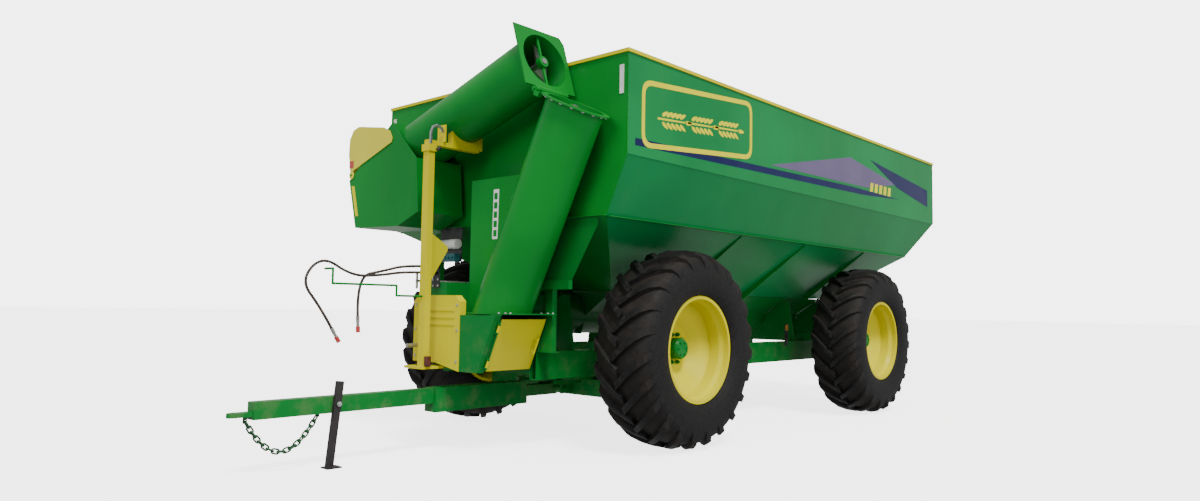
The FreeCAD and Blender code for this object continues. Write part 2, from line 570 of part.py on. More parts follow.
gearbox = gearbox.fuse(cyl((GEAR_X, TUBE_Y - 190, GEAR_Z), (0, 1, 0), 55, 50))
gearbox = gearbox.cut(cyl((GEAR_X, BF - 20, GEAR_Z), (0, 1, 0), 20.05, 150))
gearbox = gearbox.cut(cyl(along(LOW_TOP, (-foot_len - 5.5, UP)), UP, 25.05, 300))
save("gearbox", gearbox)
save("input_shaft", [input_shaft, sprocket(PTO[0], PTO[1], 70, SHAFT_R)])
save("gear_shaft", [gear_shaft, sprocket(GEAR_X, GEAR_Z, 70, 20)])
drive_bearings = [ring((0, BF - 22, AUGER_Z), (0, 1, 0), 62, 30.05, 22), input_bearing]

# Yellow guard over the chain, open at the back, with ribs pressed outwards.
G0, G1, GZ0, GZ1 = -300.0, 330.0, 740.0, 1312.0
GF = CHAIN_Y - 28
guard_out = [(G0, GZ0), (20, GZ0), (G1, 682), (G1, GZ1 - 50), (G1 - 60, GZ1), (G0 + 60, GZ1),
             (G0, GZ1 - 50)]
guard_in = [(G0 + 3, GZ0 + 3), (20.5, GZ0 + 3), (G1 - 3, 685.6), (G1 - 3, GZ1 - 51.5), (G1 - 61, GZ1 - 3),
            (G0 + 61, GZ1 - 3), (G0 + 3, GZ1 - 51.5)]
guard = plate_y(guard_out, GF, BF - 0.5).cut(plate_y(guard_in, GF + 3, BF + 9))
guard = guard.cut(cyl((PTO[0], GF - 10, PTO[1]), (0, 1, 0), 45, 40))
chain_slot = box(G1 - 20, G1 + 20, CHAIN_Y - 17, CHAIN_Y + 17, 688, 1120)
chain_slot = chain_slot.fuse(box(G1 - 20, G1 + 20, CHAIN_Y - 17, BF + 9, 700, 850))
guard = guard.cut(chain_slot)
pressed = [box(G0 + 60, G1 - 60, GF - 6, GF, z, z + 18) for z in (1060, 1120, 1180)]
save("drive_guard", fuse([guard] + pressed))

# Green cover over the chain beside the guard.
cover_corners = [(G1 + 4, 682), (face_x(682) - 2, 682), (face_x(1150) - 2, 1150), (G1 + 4, 1150)]
cover = plate_y(cover_corners, GF + 6, BF - 0.5)
hollow_corners = [(G1 + 7, 640), (face_x(640) - 8, 640), (face_x(1146) - 8, 1146), (G1 + 7, 1146)]
hollow = plate_y(hollow_corners, GF + 9, BF + 9).common(box(0, 900, -9999, 9999, 685.5, 1146))
cover = cover.cut(hollow).cut(chain_slot)

# Clean-out door on the boot's leaning side, hinged on its front edge.
SLOPE = (185.0, 0, 420.0)
s_len = math.hypot(SLOPE[0], SLOPE[2])
DIR = (SLOPE[0] / s_len, 0, SLOPE[2] / s_len)
OUT = (DIR[2], 0, -DIR[0])
door_low = along((face_x(700), 0, 700.0), (7, OUT))
DOOR_L = (1125 - 700) / DIR[2]
DOOR_F, DOOR_B = BF + 14, BB - 20


def on_door(y, up, out=0.0):
    """Point on the door's plane: its y, distance up the slope and distance outwards."""
    return along((door_low[0], y, door_low[2]), (up, DIR), (out, OUT))


def door_strip(y0, y1, s0, s1):
    return plate([on_door(y0, s0), on_door(y0, s1), on_door(y1, s1), on_door(y1, s0)], [5 * c for c in OUT])


HINGES = (40, DOOR_L - 110)
door_panel = [door_strip(DOOR_F, DOOR_B, 0, DOOR_L)]
for s in HINGES:
    door_panel += [cyl(on_door(BF, s, 12), DIR, 11, 60), door_strip(BF - 4, DOOR_F + 30, s, s + 60)]
door_panel = fuse(door_panel).cut(cyl(on_door(BF, -20, 12), DIR, 6.05, DOOR_L + 60))
HAND_Y = DOOR_B - 50
hand = [cyl(on_door(HAND_Y, DOOR_L / 2 + s, 5), OUT, 6, 35) for s in (-60, 60)]
hand.append(cyl(on_door(HAND_Y, DOOR_L / 2 - 72, 41), DIR, 7.5, 144))
save("clean_door", [door_panel, fuse(hand)])
hinge_parts = [cyl(on_door(BF, 10, 12), DIR, 6, DOOR_L - 20)]
for s in (24, 102, DOOR_L - 126, DOOR_L - 48):
    corners = [on_door(BF + 1, up, out) for up, out in ((s, -5), (s + 14, -5), (s + 14, 24), (s, 24))]
    hinge_parts.append(plate(corners, (0, -12, 0)))
door_hinge = fuse(hinge_parts)
feed_hole = cyl((0, BB - 20, AUGER_Z), (0, 1, 0), TROUGH_R - 5, 60)
boot_front = boot_front.cut(cyl((GEAR_X, BF - 10, GEAR_Z), (0, 1, 0), 22, 40))
save("boot", [boot_front, fuse(boot_shell).cut(feed_hole), lid, cover, door_hinge,
              fuse(transfer).cut(front_bore).cut(feed_hole)] + drive_bearings)

# ---------------------------------------------------------------- flow gate over the trough
GATE_Z = 1396.0
g_r = rear_y(GATE_Z) - 30
GATE_F = FRONT_B + 12
gate_l = g_r - 470 - GATE_F
windows = [GATE_F + 100 + 880 * k for k in range(5)]
seat = box(-540, 540, GATE_F - 4, g_r, 1387.5, 1392)
gate = box(-548, 548, GATE_F, GATE_F + gate_l, GATE_Z, GATE_Z + 6)
for y in windows:
    seat = seat.cut(box(-440, 440, y, y + 400, 1300, 1500))
    gate = gate.cut(box(-440, 440, y, y + 400, 1300, 1500))
save("gate_seat", seat)
pull_rod = cyl((GATE_ROD[0], HOP_F - 560, GATE_ROD[1]), ALONG_Y, 11, GATE_F + 40 - (HOP_F - 560))
pull_grip = cyl((GATE_ROD[0], HOP_F - 550, GATE_ROD[1] - 70), (0, 0, 1), 11, 140)
gate_lug = box(GATE_ROD[0] - 30, GATE_ROD[0] + 30, GATE_F + 28, GATE_F + 40, GATE_Z + 6, GATE_ROD[1] + 20)
save("flow_gate", fuse([gate, pull_rod, pull_grip, gate_lug]))

# ---------------------------------------------------------------- chassis
def tube_y(x0, x1, y0, y1, z0, z1, t):
    """Rectangular hollow section running along y."""
    return box(x0, x1, y0, y1, z0, z1).cut(box(x0 + t, x1 - t, y0 - 1, y1 + 1, z0 + t, z1 - t))


def tube_x(x0, x1, y0, y1, z0, z1, t):
    return box(x0, x1, y0, y1, z0, z1).cut(box(x0 - 1, x1 + 1, y0 + t, y1 - t, z0 + t, z1 - t))


R0, R1 = HOP_F + 5, AXLE_R + 620
rail = tube_y(RAIL_X - 40, RAIL_X + 40, R0, R1, RAIL_Z0, RAIL_Z1, 7)
save("chassis_rails", both_sides([rail]))
members = [tube_x(-RAIL_X + 40, RAIL_X - 40, y, y + 80, 640, 740, 6)
           for y in (R0, AXLE_F + 900, AXLE_F + 2100, AXLE_R - 300, AXLE_R + 320)]
KING_R = 40.0
table = box(-640, 640, AXLE_F - 450, AXLE_F + 450, 592, 600)
table = table.cut(cyl((0, AXLE_F, 560), (0, 0, 1), KING_R + 0.05, 60))
ring_up = ring((0, AXLE_F, 567), (0, 0, 1), 430, 340, 25)
save("cross_members", members + [table.fuse(ring_up).removeSplitter()])

saddles = []
hole_half = [(FLOOR_X - 7, FLOOR_Z - 4), (TROUGH_R + 1, AUGER_Z - 10), (TROUGH_R + 1, AUGER_Z - 60)]
trough_hole = plate_y(hole_half + [(-x, z) for x, z in reversed(hole_half)], -9000, 9000)
trough_hole = trough_hole.fuse(cyl((0, -9000, AUGER_Z), (0, 1, 0), TROUGH_R + 1, 18000))
for y in (AXLE_F - 560, AXLE_F + 1010, AXLE_F + 2320, AXLE_R - 350, AXLE_R + 500):
    saddle_plate = plate_y([(-640, RAIL_Z1), (640, RAIL_Z1), (560, 1340), (-560, 1340)], y - 4, y + 4)
    saddles.append(saddle_plate.cut(trough_hole))
save("saddles", saddles)
portal_corners = [(650, 846), (820, 846), (820, 1450), (740, 1450), (740, 1040), (650, 1040)]
portal = [plate_y(portal_corners, HOP_F + 6, HOP_F + 12),
          box(740, 820, HOP_F + 12, HOP_F + 60, 846, 1450),
          box(560, 820, HOP_F + 6, HOP_F + 90, RAIL_Z1, 846)]
outrigger = box(700, 1050, HOP_F - 40, HOP_F + 6, 1375, 1450)
front_web = plate_y([(700, 1450), (1050, 1450), (1330, 1900), (1330, 1958), (700, 1958)], HOP_F - 6, HOP_F)
post_right = box(740, 820, HOP_F + 12, HOP_F + 60, 1450, 1925)
save("front_portal", [fuse(portal + [outrigger, front_web]), mirror_x(fuse(portal + [post_right]))])

# ---------------------------------------------------------------- axles
STUB_R = 45.0
END_X = 1030.0


def stub(x0, y):
    """Wheel stub along +X with a shouldered outer end."""
    return cyl((x0, y, HUB_Z), (1, 0, 0), STUB_R, 1400 - x0)


rear_beam = tube_x(-1000, 1000, AXLE_R - 90, AXLE_R + 90, RAIL_Z1, 938, 8)
rear_end = box(1000, END_X, AXLE_R - 110, AXLE_R + 110, 760, 990)
save("rear_axle", fuse([rear_beam] + both_sides([rear_end, stub(END_X - 5, AXLE_R)])))
front_beam = tube_x(-1000, 1000, AXLE_F - 90, AXLE_F + 90, 380, 540, 10)
front_end = box(940, END_X, AXLE_F - 80, AXLE_F + 80, 380, 985)
for x in (-1100, 945):
    front_beam = front_beam.cut(box(x, x + 155, AXLE_F - 200, AXLE_F + 200, 300, 600))
BAR_Y = AXLE_F - 195
turntable = ring((0, AXLE_F, 540), (0, 0, 1), 430, 340, 26)
dolly = [front_beam, turntable, cyl((0, AXLE_F, 420), (0, 0, 1), KING_R, 210)]
dolly.append(box(-60, 60, AXLE_F + 89, AXLE_F + 420, 500, 540))
for x in (-260, 260):
    dolly.append(box(x - 20, x + 20, AXLE_F - 420, AXLE_F - 89, 500, 540))
for x in (-170, 150):
    bar_ear = box(x, x + 20, AXLE_F - 240, AXLE_F - 89, 395, 485)
    dolly.append(bar_ear.cut(cyl((-200, BAR_Y, BAR_Z), (1, 0, 0), 20, 400)))
front_axle = fuse(dolly + both_sides([front_end, stub(END_X - 5, AXLE_F)]))
bar_pin = cyl((-185, BAR_Y, BAR_Z), (1, 0, 0), 20, 370)
save("front_axle", [front_axle, bar_pin])

# ---------------------------------------------------------------- wheels
TW = TYRE_W / 2
tyre_half = [(120, 868), (235, 835), (TW - 20, 770), (TW, 690), (TW, 600), (252, 470),
             (214, 470), (262, 600), (262, 700), (200, 800)]
tyre_section = ([(0, TYRE_OD / 2)] + tyre_half + [(0, 835)]
                + [(-dx, r) for dx, r in reversed(tyre_half)])
# rim: barrel with flanges, and a dished disc set back from the outer side
rim_section = [(-252, 440), (-252, RIM_R + 14), (-236, RIM_R + 14), (-236, 469.5), (-190, 469.5),
               (-170, 430), (150, 430), (190, 469.5), (236, 469.5), (236, RIM_R + 14),
               (252, RIM_R + 14), (252, 440), (200, 440), (160, 420), (60, 415), (10, 300),
               (-40, 210), (-40, 95), (-54, 95), (-54, 214),
               (-6, 305), (40, 418), (-150, 418), (-200, 440)]
hub_section = [(-250, STUB_R + 0.05), (-250, 70), (-190, 90), (-80, 95), (-80, 160), (-54.3, 160),
               (-54.3, 94.7), (40, 94.7), (60, 80), (60, 0), (50, 0), (50, STUB_R + 0.05)]
bolt_circle = 128.0


def wheel(name, side, y):
    cx = side * TRACK / 2

    def spun(section):
        return revolve_x([(side * dx, r) for dx, r in section], cx, y, HUB_Z)

    save("tyre_" + name, spun(tyre_section))
    rim_shape = spun(rim_section)
    hub_shape = spun(hub_section)
    nuts = []
    for k in range(10):
        a = 2 * math.pi * k / 10
        ny, nz = y + bolt_circle * math.cos(a), HUB_Z + bolt_circle * math.sin(a)
        rim_shape = rim_shape.cut(cyl((cx - side * 80, ny, nz), (side, 0, 0), 11.2, 80))
        hub_shape = hub_shape.fuse(cyl((cx - side * 60, ny, nz), (side, 0, 0), 11, 55))
        nuts.append(ring((cx - side * 39.5, ny, nz), (side, 0, 0), 18, 11.05, 20))
    save("rim_" + name, rim_shape)
    save("hub_" + name, [hub_shape.removeSplitter()] + nuts)


for name, side, y in (("front_left", 1, AXLE_F), ("front_right", -1, AXLE_F),
                      ("rear_left", 1, AXLE_R), ("rear_right", -1, AXLE_R)):
    wheel(name, side, y)

# ---------------------------------------------------------------- drawbar and stand leg
MAIN_F = AXLE_F - 1650
SLIM_F = AXLE_F - 3200
rear_bar = tube_y(-60, 60, AXLE_F - 620, BAR_Y + 5, 385, 485, 10)
main_bar = tube_y(-75, 75, MAIN_F, AXLE_F - 600, 325, 530, 8)
main_cap = [box(-75, 75, AXLE_F - 608, AXLE_F - 600, 325, 530), box(-75, 75, MAIN_F, MAIN_F + 8, 325, 530)]
slim_bar = tube_y(-50, 50, SLIM_F, MAIN_F + 2, 400, 525, 8)
slim_cap = box(-50, 50, SLIM_F, SLIM_F + 8, 400, 525)
cross = cyl((-148, BAR_Y, BAR_Z), (1, 0, 0), 42, 296)
tongue = box(-40, 40, HITCH_Y, SLIM_F + 2, BAR_Z - 16, BAR_Z + 16)
nose = cyl((0, HITCH_Y, BAR_Z - 16), (0, 0, 1), 40, 32)
LEG_X = 53.0
LEG_Y, LEG_Z = AXLE_F - 2565, 470.0
leg_bolt = cyl((48, LEG_Y, LEG_Z), (1, 0, 0), 11, 52)
drawbar = fuse([rear_bar, main_bar, slim_bar, slim_cap, cross, tongue, nose] + main_cap)
drawbar = drawbar.cut(cyl((-200, BAR_Y, BAR_Z), (1, 0, 0), 20.05, 400))
drawbar = drawbar.cut(cyl((0, HITCH_Y, 300), (0, 0, 1), HITCH_R, 300))
drawbar = fuse([drawbar, leg_bolt, cyl((96, LEG_Y, LEG_Z), (1, 0, 0), 18, 8)])
save("drawbar", drawbar)
LEG_TILT = 6.0
leg = box(LEG_X + 1, LEG_X + 33, LEG_Y - 28, LEG_Y + 28, -20, 640)
leg = leg.cut(box(LEG_X + 5, LEG_X + 29, LEG_Y - 24, LEG_Y + 24, 40, 430))
leg = turned(leg, (0, LEG_Y, LEG_Z), (1, 0, 0), -LEG_TILT)
foot_y = LEG_Y - math.tan(math.radians(LEG_TILT)) * (LEG_Z - 8)
leg = leg.cut(box(0, 300, LEG_Y - 500, LEG_Y + 500, -100, 8))
foot = box(LEG_X + 1, LEG_X + 101, foot_y - 60, foot_y + 60, 0, 10)
leg = fuse([leg, foot]).cut(cyl((0, LEG_Y, LEG_Z), (1, 0, 0), 11.05, 200))
save("stand_leg", leg)

# ---------------------------------------------------------------- post and cradle for the folded tube
POST_Y0, POST_Y1 = AXLE_F - 1765, AXLE_F - 1705
POST_TOP = 2600.0
post = box(-40, 40, POST_Y0, POST_Y1, 712, POST_TOP)
post = post.cut(box(-35, 35, POST_Y0 + 5, POST_Y1 - 5, 700, POST_TOP))
shelf = box(-200, 54, POST_Y0 - 20, R0, 690, 712)
shelf = shelf.cut(box(-194, 48, POST_Y0 - 14, R0 + 9, 680, 706))
post_collar = box(-52, 52, POST_Y0 - 12, POST_Y1 + 12, POST_TOP - 60, POST_TOP)
arm = box(-30, 30, POST_Y0, TUBE_Y + 130, POST_TOP, POST_TOP + 40)
saddle = box(-30, 30, TUBE_Y - 170, TUBE_Y + 170, POST_TOP + 20, POST_TOP + 150)
horn = box(-55, 55, TUBE_Y - 266, TUBE_Y - 256, POST_TOP + 40, POST_TOP + 190)
tube_space = cyl(along(MOUTH, (0, FOLD)), FOLD, TUBE_R + 1, 2000)
gusset = plate_x([(POST_Y1, 1400), (POST_Y1, 1850), (POST_Y1 + 190, 1740), (POST_Y1 + 190, 1700)], -5, 5)
save("auger_post", [fuse([post, shelf, post_collar, gusset]), fuse([arm, saddle, horn]).cut(tube_space)])

# ---------------------------------------------------------------- hydraulics
TANK = (-540.0, HOP_F - 66.0, 1805.0)
tank = cyl((TANK[0] - 165, TANK[1], TANK[2]), (1, 0, 0), 45, 330)
bracket = box(-700, -380, HOP_F - 20, HOP_F - 14, 1640, 1966)
pads = [box(x, x + 30, HOP_F - 70, HOP_F - 20, 1755, 1763) for x in (-660, -450)]
valve_block = box(-560, -400, HOP_F - 90, HOP_F - 20, 1640, 1712)
ports = [cyl((x, HOP_F - 90, 1676), (0, -1, 0), 12, 22) for x in (-530, -480, -430)]
save("hydraulic_block", [fuse([bracket] + pads).cut(tank), tank, fuse([valve_block] + ports)])

HOSE_R = 11.0
HOSE_A_X, HOSE_B_X = -64.0, -92.0
bulkhead = box(-125, -35, BF - 12, BF, 1380, 1600)
fittings = [cyl((x, BF - 12, z), (0, -1, 0), 14, 46) for x, z in ((HOSE_A_X, 1505), (HOSE_B_X, 1560))]
save("hose_bulkhead", fuse([bulkhead] + fittings))


def cord(name, x, points, radius):
    """Round cord in a plane of constant x: straight runs joined by arcs tangent to both."""
    pts = [V(x, y, z) for y, z in points]
    edges, at, radii = [], pts[0], []
    for a, b, c in zip(pts, pts[1:], pts[2:]):
        d0, d1 = (b - a).normalize(), (c - b).normalize()
        half_turn = d0.getAngle(d1) / 2
        cut = 0.45 * min((b - a).Length, (c - b).Length)
        start, stop = b - d0 * cut, b + d1 * cut
        bend = cut / math.tan(half_turn)
        radii.append(bend)
        inward = (d1 - d0).normalize()
        middle = b + inward * (bend / math.cos(half_turn) - bend)
        edges += [Part.makeLine(at, start), Part.Arc(start, middle, stop).toShape()]
        at = stop
    edges.append(Part.makeLine(at, pts[-1]))
    wire = Part.Wire(edges)
    profile = Part.Wire([Part.makeCircle(radius, pts[0], pts[1] - pts[0])])
    tube = wire.makePipeShell([profile], True, False)
    expected = math.pi * radius ** 2 * wire.Length
    print("%s radii %s length %.1f volume %.4f of section x length" % (
        name, [round(r) for r in radii], wire.Length, tube.Volume / expected))
    return tube


CA = AXLE_F
hose_a = [(BF - 58, 1505), (CA - 1890, 1505), (CA - 2150, 1462), (CA - 2400, 1450), (CA - 2660, 1600),
          (CA - 2830, 1400), (CA - 2660, 1200), (CA - 2560, 1040)]
hose_b = [(BF - 58, 1560), (CA - 1870, 1560), (CA - 2100, 1500), (CA - 2335, 1450), (CA - 2315, 1130)]
save("hose_long", cord("hose_long", HOSE_A_X, hose_a, HOSE_R))
save("hose_short", cord("hose_short", HOSE_B_X, hose_b, HOSE_R))
tips = []
for x, points in ((HOSE_A_X, hose_a), (HOSE_B_X, hose_b)):
    (y0, z0), (y1, z1) = points[-2:]
    reach = math.hypot(y1 - y0, z1 - z0)
    d = (0, (y1 - y0) / reach, (z1 - z0) / reach)
    tips += [fuse([cyl((x, y1, z1), d, 14, 50), cyl(along((x, y1, z1), (50, d)), d, 12, 32)]),
             cyl(along((x, y1, z1), (82, d)), d, 17, 48)]
save("hose_couplers", tips)

# Bent rod on the post that carries the hoses.
rod_points = [(POST_Y0, 1300), (CA - 2020, 1300), (CA - 2020, 1384), (CA - 2600, 1384), (CA - 2600, 1500)]
rods = []
for (y0, z0), (y1, z1) in zip(rod_points, rod_points[1:]):
    reach = math.hypot(y1 - y0, z1 - z0)
    rods += [cyl((0, y0, z0), (0, y1 - y0, z1 - z0), 9, reach), Part.makeSphere(9, V(0, y1, z1))]
cross_bar = cyl((0, CA - 2600, 1500), (-1, 0, 0), 9, 120)
save("hose_holder", fuse(rods + [cross_bar]))

# ---------------------------------------------------------------- safety chain under the drawbar
LINK_R = 6.5
LINKS = 17
C0, C1 = CA - 3234, CA - 2690
C_MID, C_HALF = (C0 + C1) / 2, (C1 - C0) / 2
SAG = 235.0


def chain_point(s):
    """Point and direction on the hanging curve at the length s from its front end."""
    y, z, steps = C0, 385.0, 4000
    dy = (C1 - C0) / steps
    done = 0.0
    for k in range(steps):
        u = (y + dy / 2 - C_MID) / C_HALF
        dz = 2 * SAG * u / C_HALF * dy
        part_len = math.hypot(dy, dz)
        if done + part_len >= s:
            break
        done += part_len
        y += dy
        z += dz
    return y, z, dy / part_len, dz / part_len


def link(wide_x, y, z, ty, tz):
    """Stadium-shaped link lying along (ty, tz)."""
    e1 = V(0, ty, tz)
    e2 = V(1, 0, 0) if wide_x else V(0, -tz, ty)
    c = V(0, y, z)
    a, b = 13.0, 16.5
    p = [c + e1 * a + e2 * b, c + e1 * (a + b), c + e1 * a - e2 * b,
         c - e1 * a - e2 * b, c - e1 * (a + b), c - e1 * a + e2 * b]
    wire = Part.Wire([Part.Arc(p[0], p[1], p[2]).toShape(), Part.makeLine(p[2], p[3]),
                      Part.Arc(p[3], p[4], p[5]).toShape(), Part.makeLine(p[5], p[0])])
    profile = Part.Wire([Part.makeCircle(LINK_R, (p[5] + p[0]) * 0.5, e1)])
    wire = Part.Wire([Part.makeLine((p[5] + p[0]) * 0.5, p[0])] + wire.Edges[:3]
                     + [Part.makeLine(p[5], (p[5] + p[0]) * 0.5)])
    return wire.makePipeShell([profile], True, False)


curve = 4 * SAG / (2 * C_HALF)
length = C_HALF * (math.sqrt(1 + curve ** 2) + math.asinh(curve) / curve)
links = []
for k in range(LINKS):
    y, z, ty, tz = chain_point((k + 0.5) * length / LINKS)
    links.append(link(k % 2 == 0, y, z, ty, tz))
lug_f = box(-4, 4, C0 - 19, C0 + 10, 376, BAR_Z - 16).cut(cyl((-9, C0 - 3.7, 391.5), (1, 0, 0), 9, 18))
lug_r = box(-4, 4, C1 - 10, C1 + 19, 376, 400).cut(cyl((-9, C1 + 3.7, 391.5), (1, 0, 0), 9, 18))
save("safety_chain", links + [lug_f, lug_r])

# ---------------------------------------------------------------- rear light bar
lamp_bar = tube_x(-1000, 1000, R1, R1 + 40, 690, 750, 4)
lamp = box(850, 990, R1 + 40, R1 + 90, 680, 760)
save("rear_lamps", [lamp_bar] + both_sides([lamp]))
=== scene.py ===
"""Looks of the grain cart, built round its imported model.

Metres, +Z up, -Y towards the hitch, +X the auger's side.
"""

import math

import bpy
from mathutils import Matrix, Vector


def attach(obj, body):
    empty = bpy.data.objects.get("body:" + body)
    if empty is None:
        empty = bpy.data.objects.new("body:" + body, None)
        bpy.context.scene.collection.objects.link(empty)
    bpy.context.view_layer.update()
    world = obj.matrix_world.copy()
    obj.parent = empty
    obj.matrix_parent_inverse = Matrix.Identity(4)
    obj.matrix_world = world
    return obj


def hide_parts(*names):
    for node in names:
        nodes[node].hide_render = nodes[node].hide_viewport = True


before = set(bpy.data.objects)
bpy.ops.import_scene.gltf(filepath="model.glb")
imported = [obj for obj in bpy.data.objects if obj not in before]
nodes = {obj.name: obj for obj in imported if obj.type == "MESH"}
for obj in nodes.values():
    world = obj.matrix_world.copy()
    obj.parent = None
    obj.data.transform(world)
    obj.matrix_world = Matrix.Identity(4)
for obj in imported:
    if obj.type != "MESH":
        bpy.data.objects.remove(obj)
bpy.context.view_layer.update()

# the axles and wheels
AXLE_F = -1.101
AXLE_R = AXLE_F + 3.830
WHEEL_X = 1.370
HUB_Z = 0.875

# the two auger tubes: the lower one along UP, the folding one along FOLD from the same hinge
TUBE_Y = AXLE_F - 1.345
LEAN = math.radians(26.5)
REST_TILT = math.radians(17.5)
UP = Vector((math.sin(LEAN), 0, math.cos(LEAN)))
ACROSS = Vector((UP.z, 0, -UP.x))
FOLD = Vector((-math.cos(REST_TILT), 0, -math.sin(REST_TILT)))
OVER = Vector((FOLD.z, 0, -FOLD.x))
HINGE = Vector((1.090, TUBE_Y, 2.950))
LOW_TOP = HINGE + ACROSS * 0.300
MOUTH = HINGE + OVER * 0.300
FRONT_OF_TUBE = TUBE_Y - 0.212

# the hopper: its ends, the face of its upper panels, and the heights where its sides fold
HOP_F = AXLE_F - 1.035
HOP_R = AXLE_F + 5.560
PANEL_X = 1.630
KNEE_X = 1.4215
KNEE_Z = 1.980
SHOULDER_Z = 2.446
WALL_TOP = 3.262

# the rear light bar, and the pieces that both sides of the cart have
REAR_BAR = AXLE_R + 0.620
SIDES = ((1, "left"), (-1, "right"))


# ---------------------------------------------------------------- camera and lights
CAMERA_TURN = (-41.881, 3.899, 0.879)
CAMERA_PLACE = (5.744, AXLE_F - 5.928, 1.238)
CAMERA_LENS = 24.58
ROOM_LIGHT = 0.62
BACKDROP_LIGHT = 5.0


def camera():
    yaw, pitch, roll = (math.radians(a) for a in CAMERA_TURN)
    level = math.cos(pitch)
    ahead = Vector((math.sin(yaw) * level, math.cos(yaw) * level, math.sin(pitch)))
    right = ahead.cross(Vector((0, 0, 1))).normalized()
    up = right.cross(ahead)
    c, s = math.cos(roll), math.sin(roll)
    right, up = right * c + up * s, up * c - right * s
    data = bpy.data.cameras.new("camera")
    data.sensor_width = 36.0
    data.lens = CAMERA_LENS
    data.clip_end = 200
    eye = bpy.data.objects.new("camera", data)
    bpy.context.scene.collection.objects.link(eye)
    eye.matrix_world = Matrix((right, up, -ahead)).transposed().to_4x4()
    eye.location = CAMERA_PLACE
    bpy.context.scene.camera = eye


def soft_light(name, place, target, size, power, tint=(1, 1, 1)):
    data = bpy.data.lights.new(name, "AREA")
    data.shape = "DISK"
    data.size = size
    data.energy = power
    data.color = tint
    lamp = bpy.data.objects.new(name, data)
    bpy.context.scene.collection.objects.link(lamp)
    lamp.location = place
    lamp.rotation_euler = (Vector(target) - Vector(place)).to_track_quat("-Z", "Y").to_euler()


def lights():
    sun = bpy.data.lights.new("window_light", "SUN")
    sun.energy = 3.4
    sun.angle = math.radians(14)
    sun.color = (1.0, 0.985, 0.95)
    lamp = bpy.data.objects.new("window_light", sun)
    bpy.context.scene.collection.objects.link(lamp)
    lamp.rotation_euler = Vector((-0.62, 0.30, -0.98)).to_track_quat("-Z", "Y").to_euler()
    soft_light("front_fill", (4.0, -12.5, 5.5), (0, -1.5, 1.6), 5.0, 420, (0.97, 0.985, 1.0))
    soft_light("side_fill", (12.0, 1.5, 4.5), (1.0, 0.8, 1.6), 5.0, 420)
    world = bpy.data.worlds.new("room")
    bpy.context.scene.world = world
    world.use_nodes = True
    tree = world.node_tree
    room = tree.nodes["Background"]
    room.inputs["Color"].default_value = (1.0, 1.0, 1.0, 1)
    room.inputs["Strength"].default_value = ROOM_LIGHT
    backdrop = tree.nodes.new("ShaderNodeBackground")
    backdrop.inputs["Color"].default_value = (1.0, 1.0, 1.0, 1)
    backdrop.inputs["Strength"].default_value = BACKDROP_LIGHT
    seen = tree.nodes.new("ShaderNodeLightPath")
    both = tree.nodes.new("ShaderNodeMixShader")
    tree.links.new(seen.outputs["Is Camera Ray"], both.inputs[0])
    tree.links.new(room.outputs[0], both.inputs[1])
    tree.links.new(backdrop.outputs[0], both.inputs[2])
    tree.links.new(both.outputs[0], tree.nodes["World Output"].inputs["Surface"])


# ---------------------------------------------------------------- shader sums
class Value:
    """One socket of a material, which sums and products can be written with."""

    def __init__(self, recipe, socket):
        self.recipe, self.socket = recipe, socket

    def _sum(self, operation, a, b):
        return self.recipe.node("ShaderNodeMath", {"operation": operation}, [a, b])

    def __add__(self, other):
        return self._sum("ADD", self, other)

    def __radd__(self, other):
        return self._sum("ADD", other, self)

    def __sub__(self, other):
        return self._sum("SUBTRACT", self, other)

    def __rsub__(self, other):
        return self._sum("SUBTRACT", other, self)

    def __mul__(self, other):
        return self._sum("MULTIPLY", self, other)

    def __rmul__(self, other):
        return self._sum("MULTIPLY", other, self)

    def __truediv__(self, other):
        return self._sum("DIVIDE", self, other)

    def __pow__(self, other):
        return self._sum("POWER", self, other)

    def __gt__(self, other):
        return self._sum("GREATER_THAN", self, other)

    def __lt__(self, other):
        return self._sum("LESS_THAN", self, other)


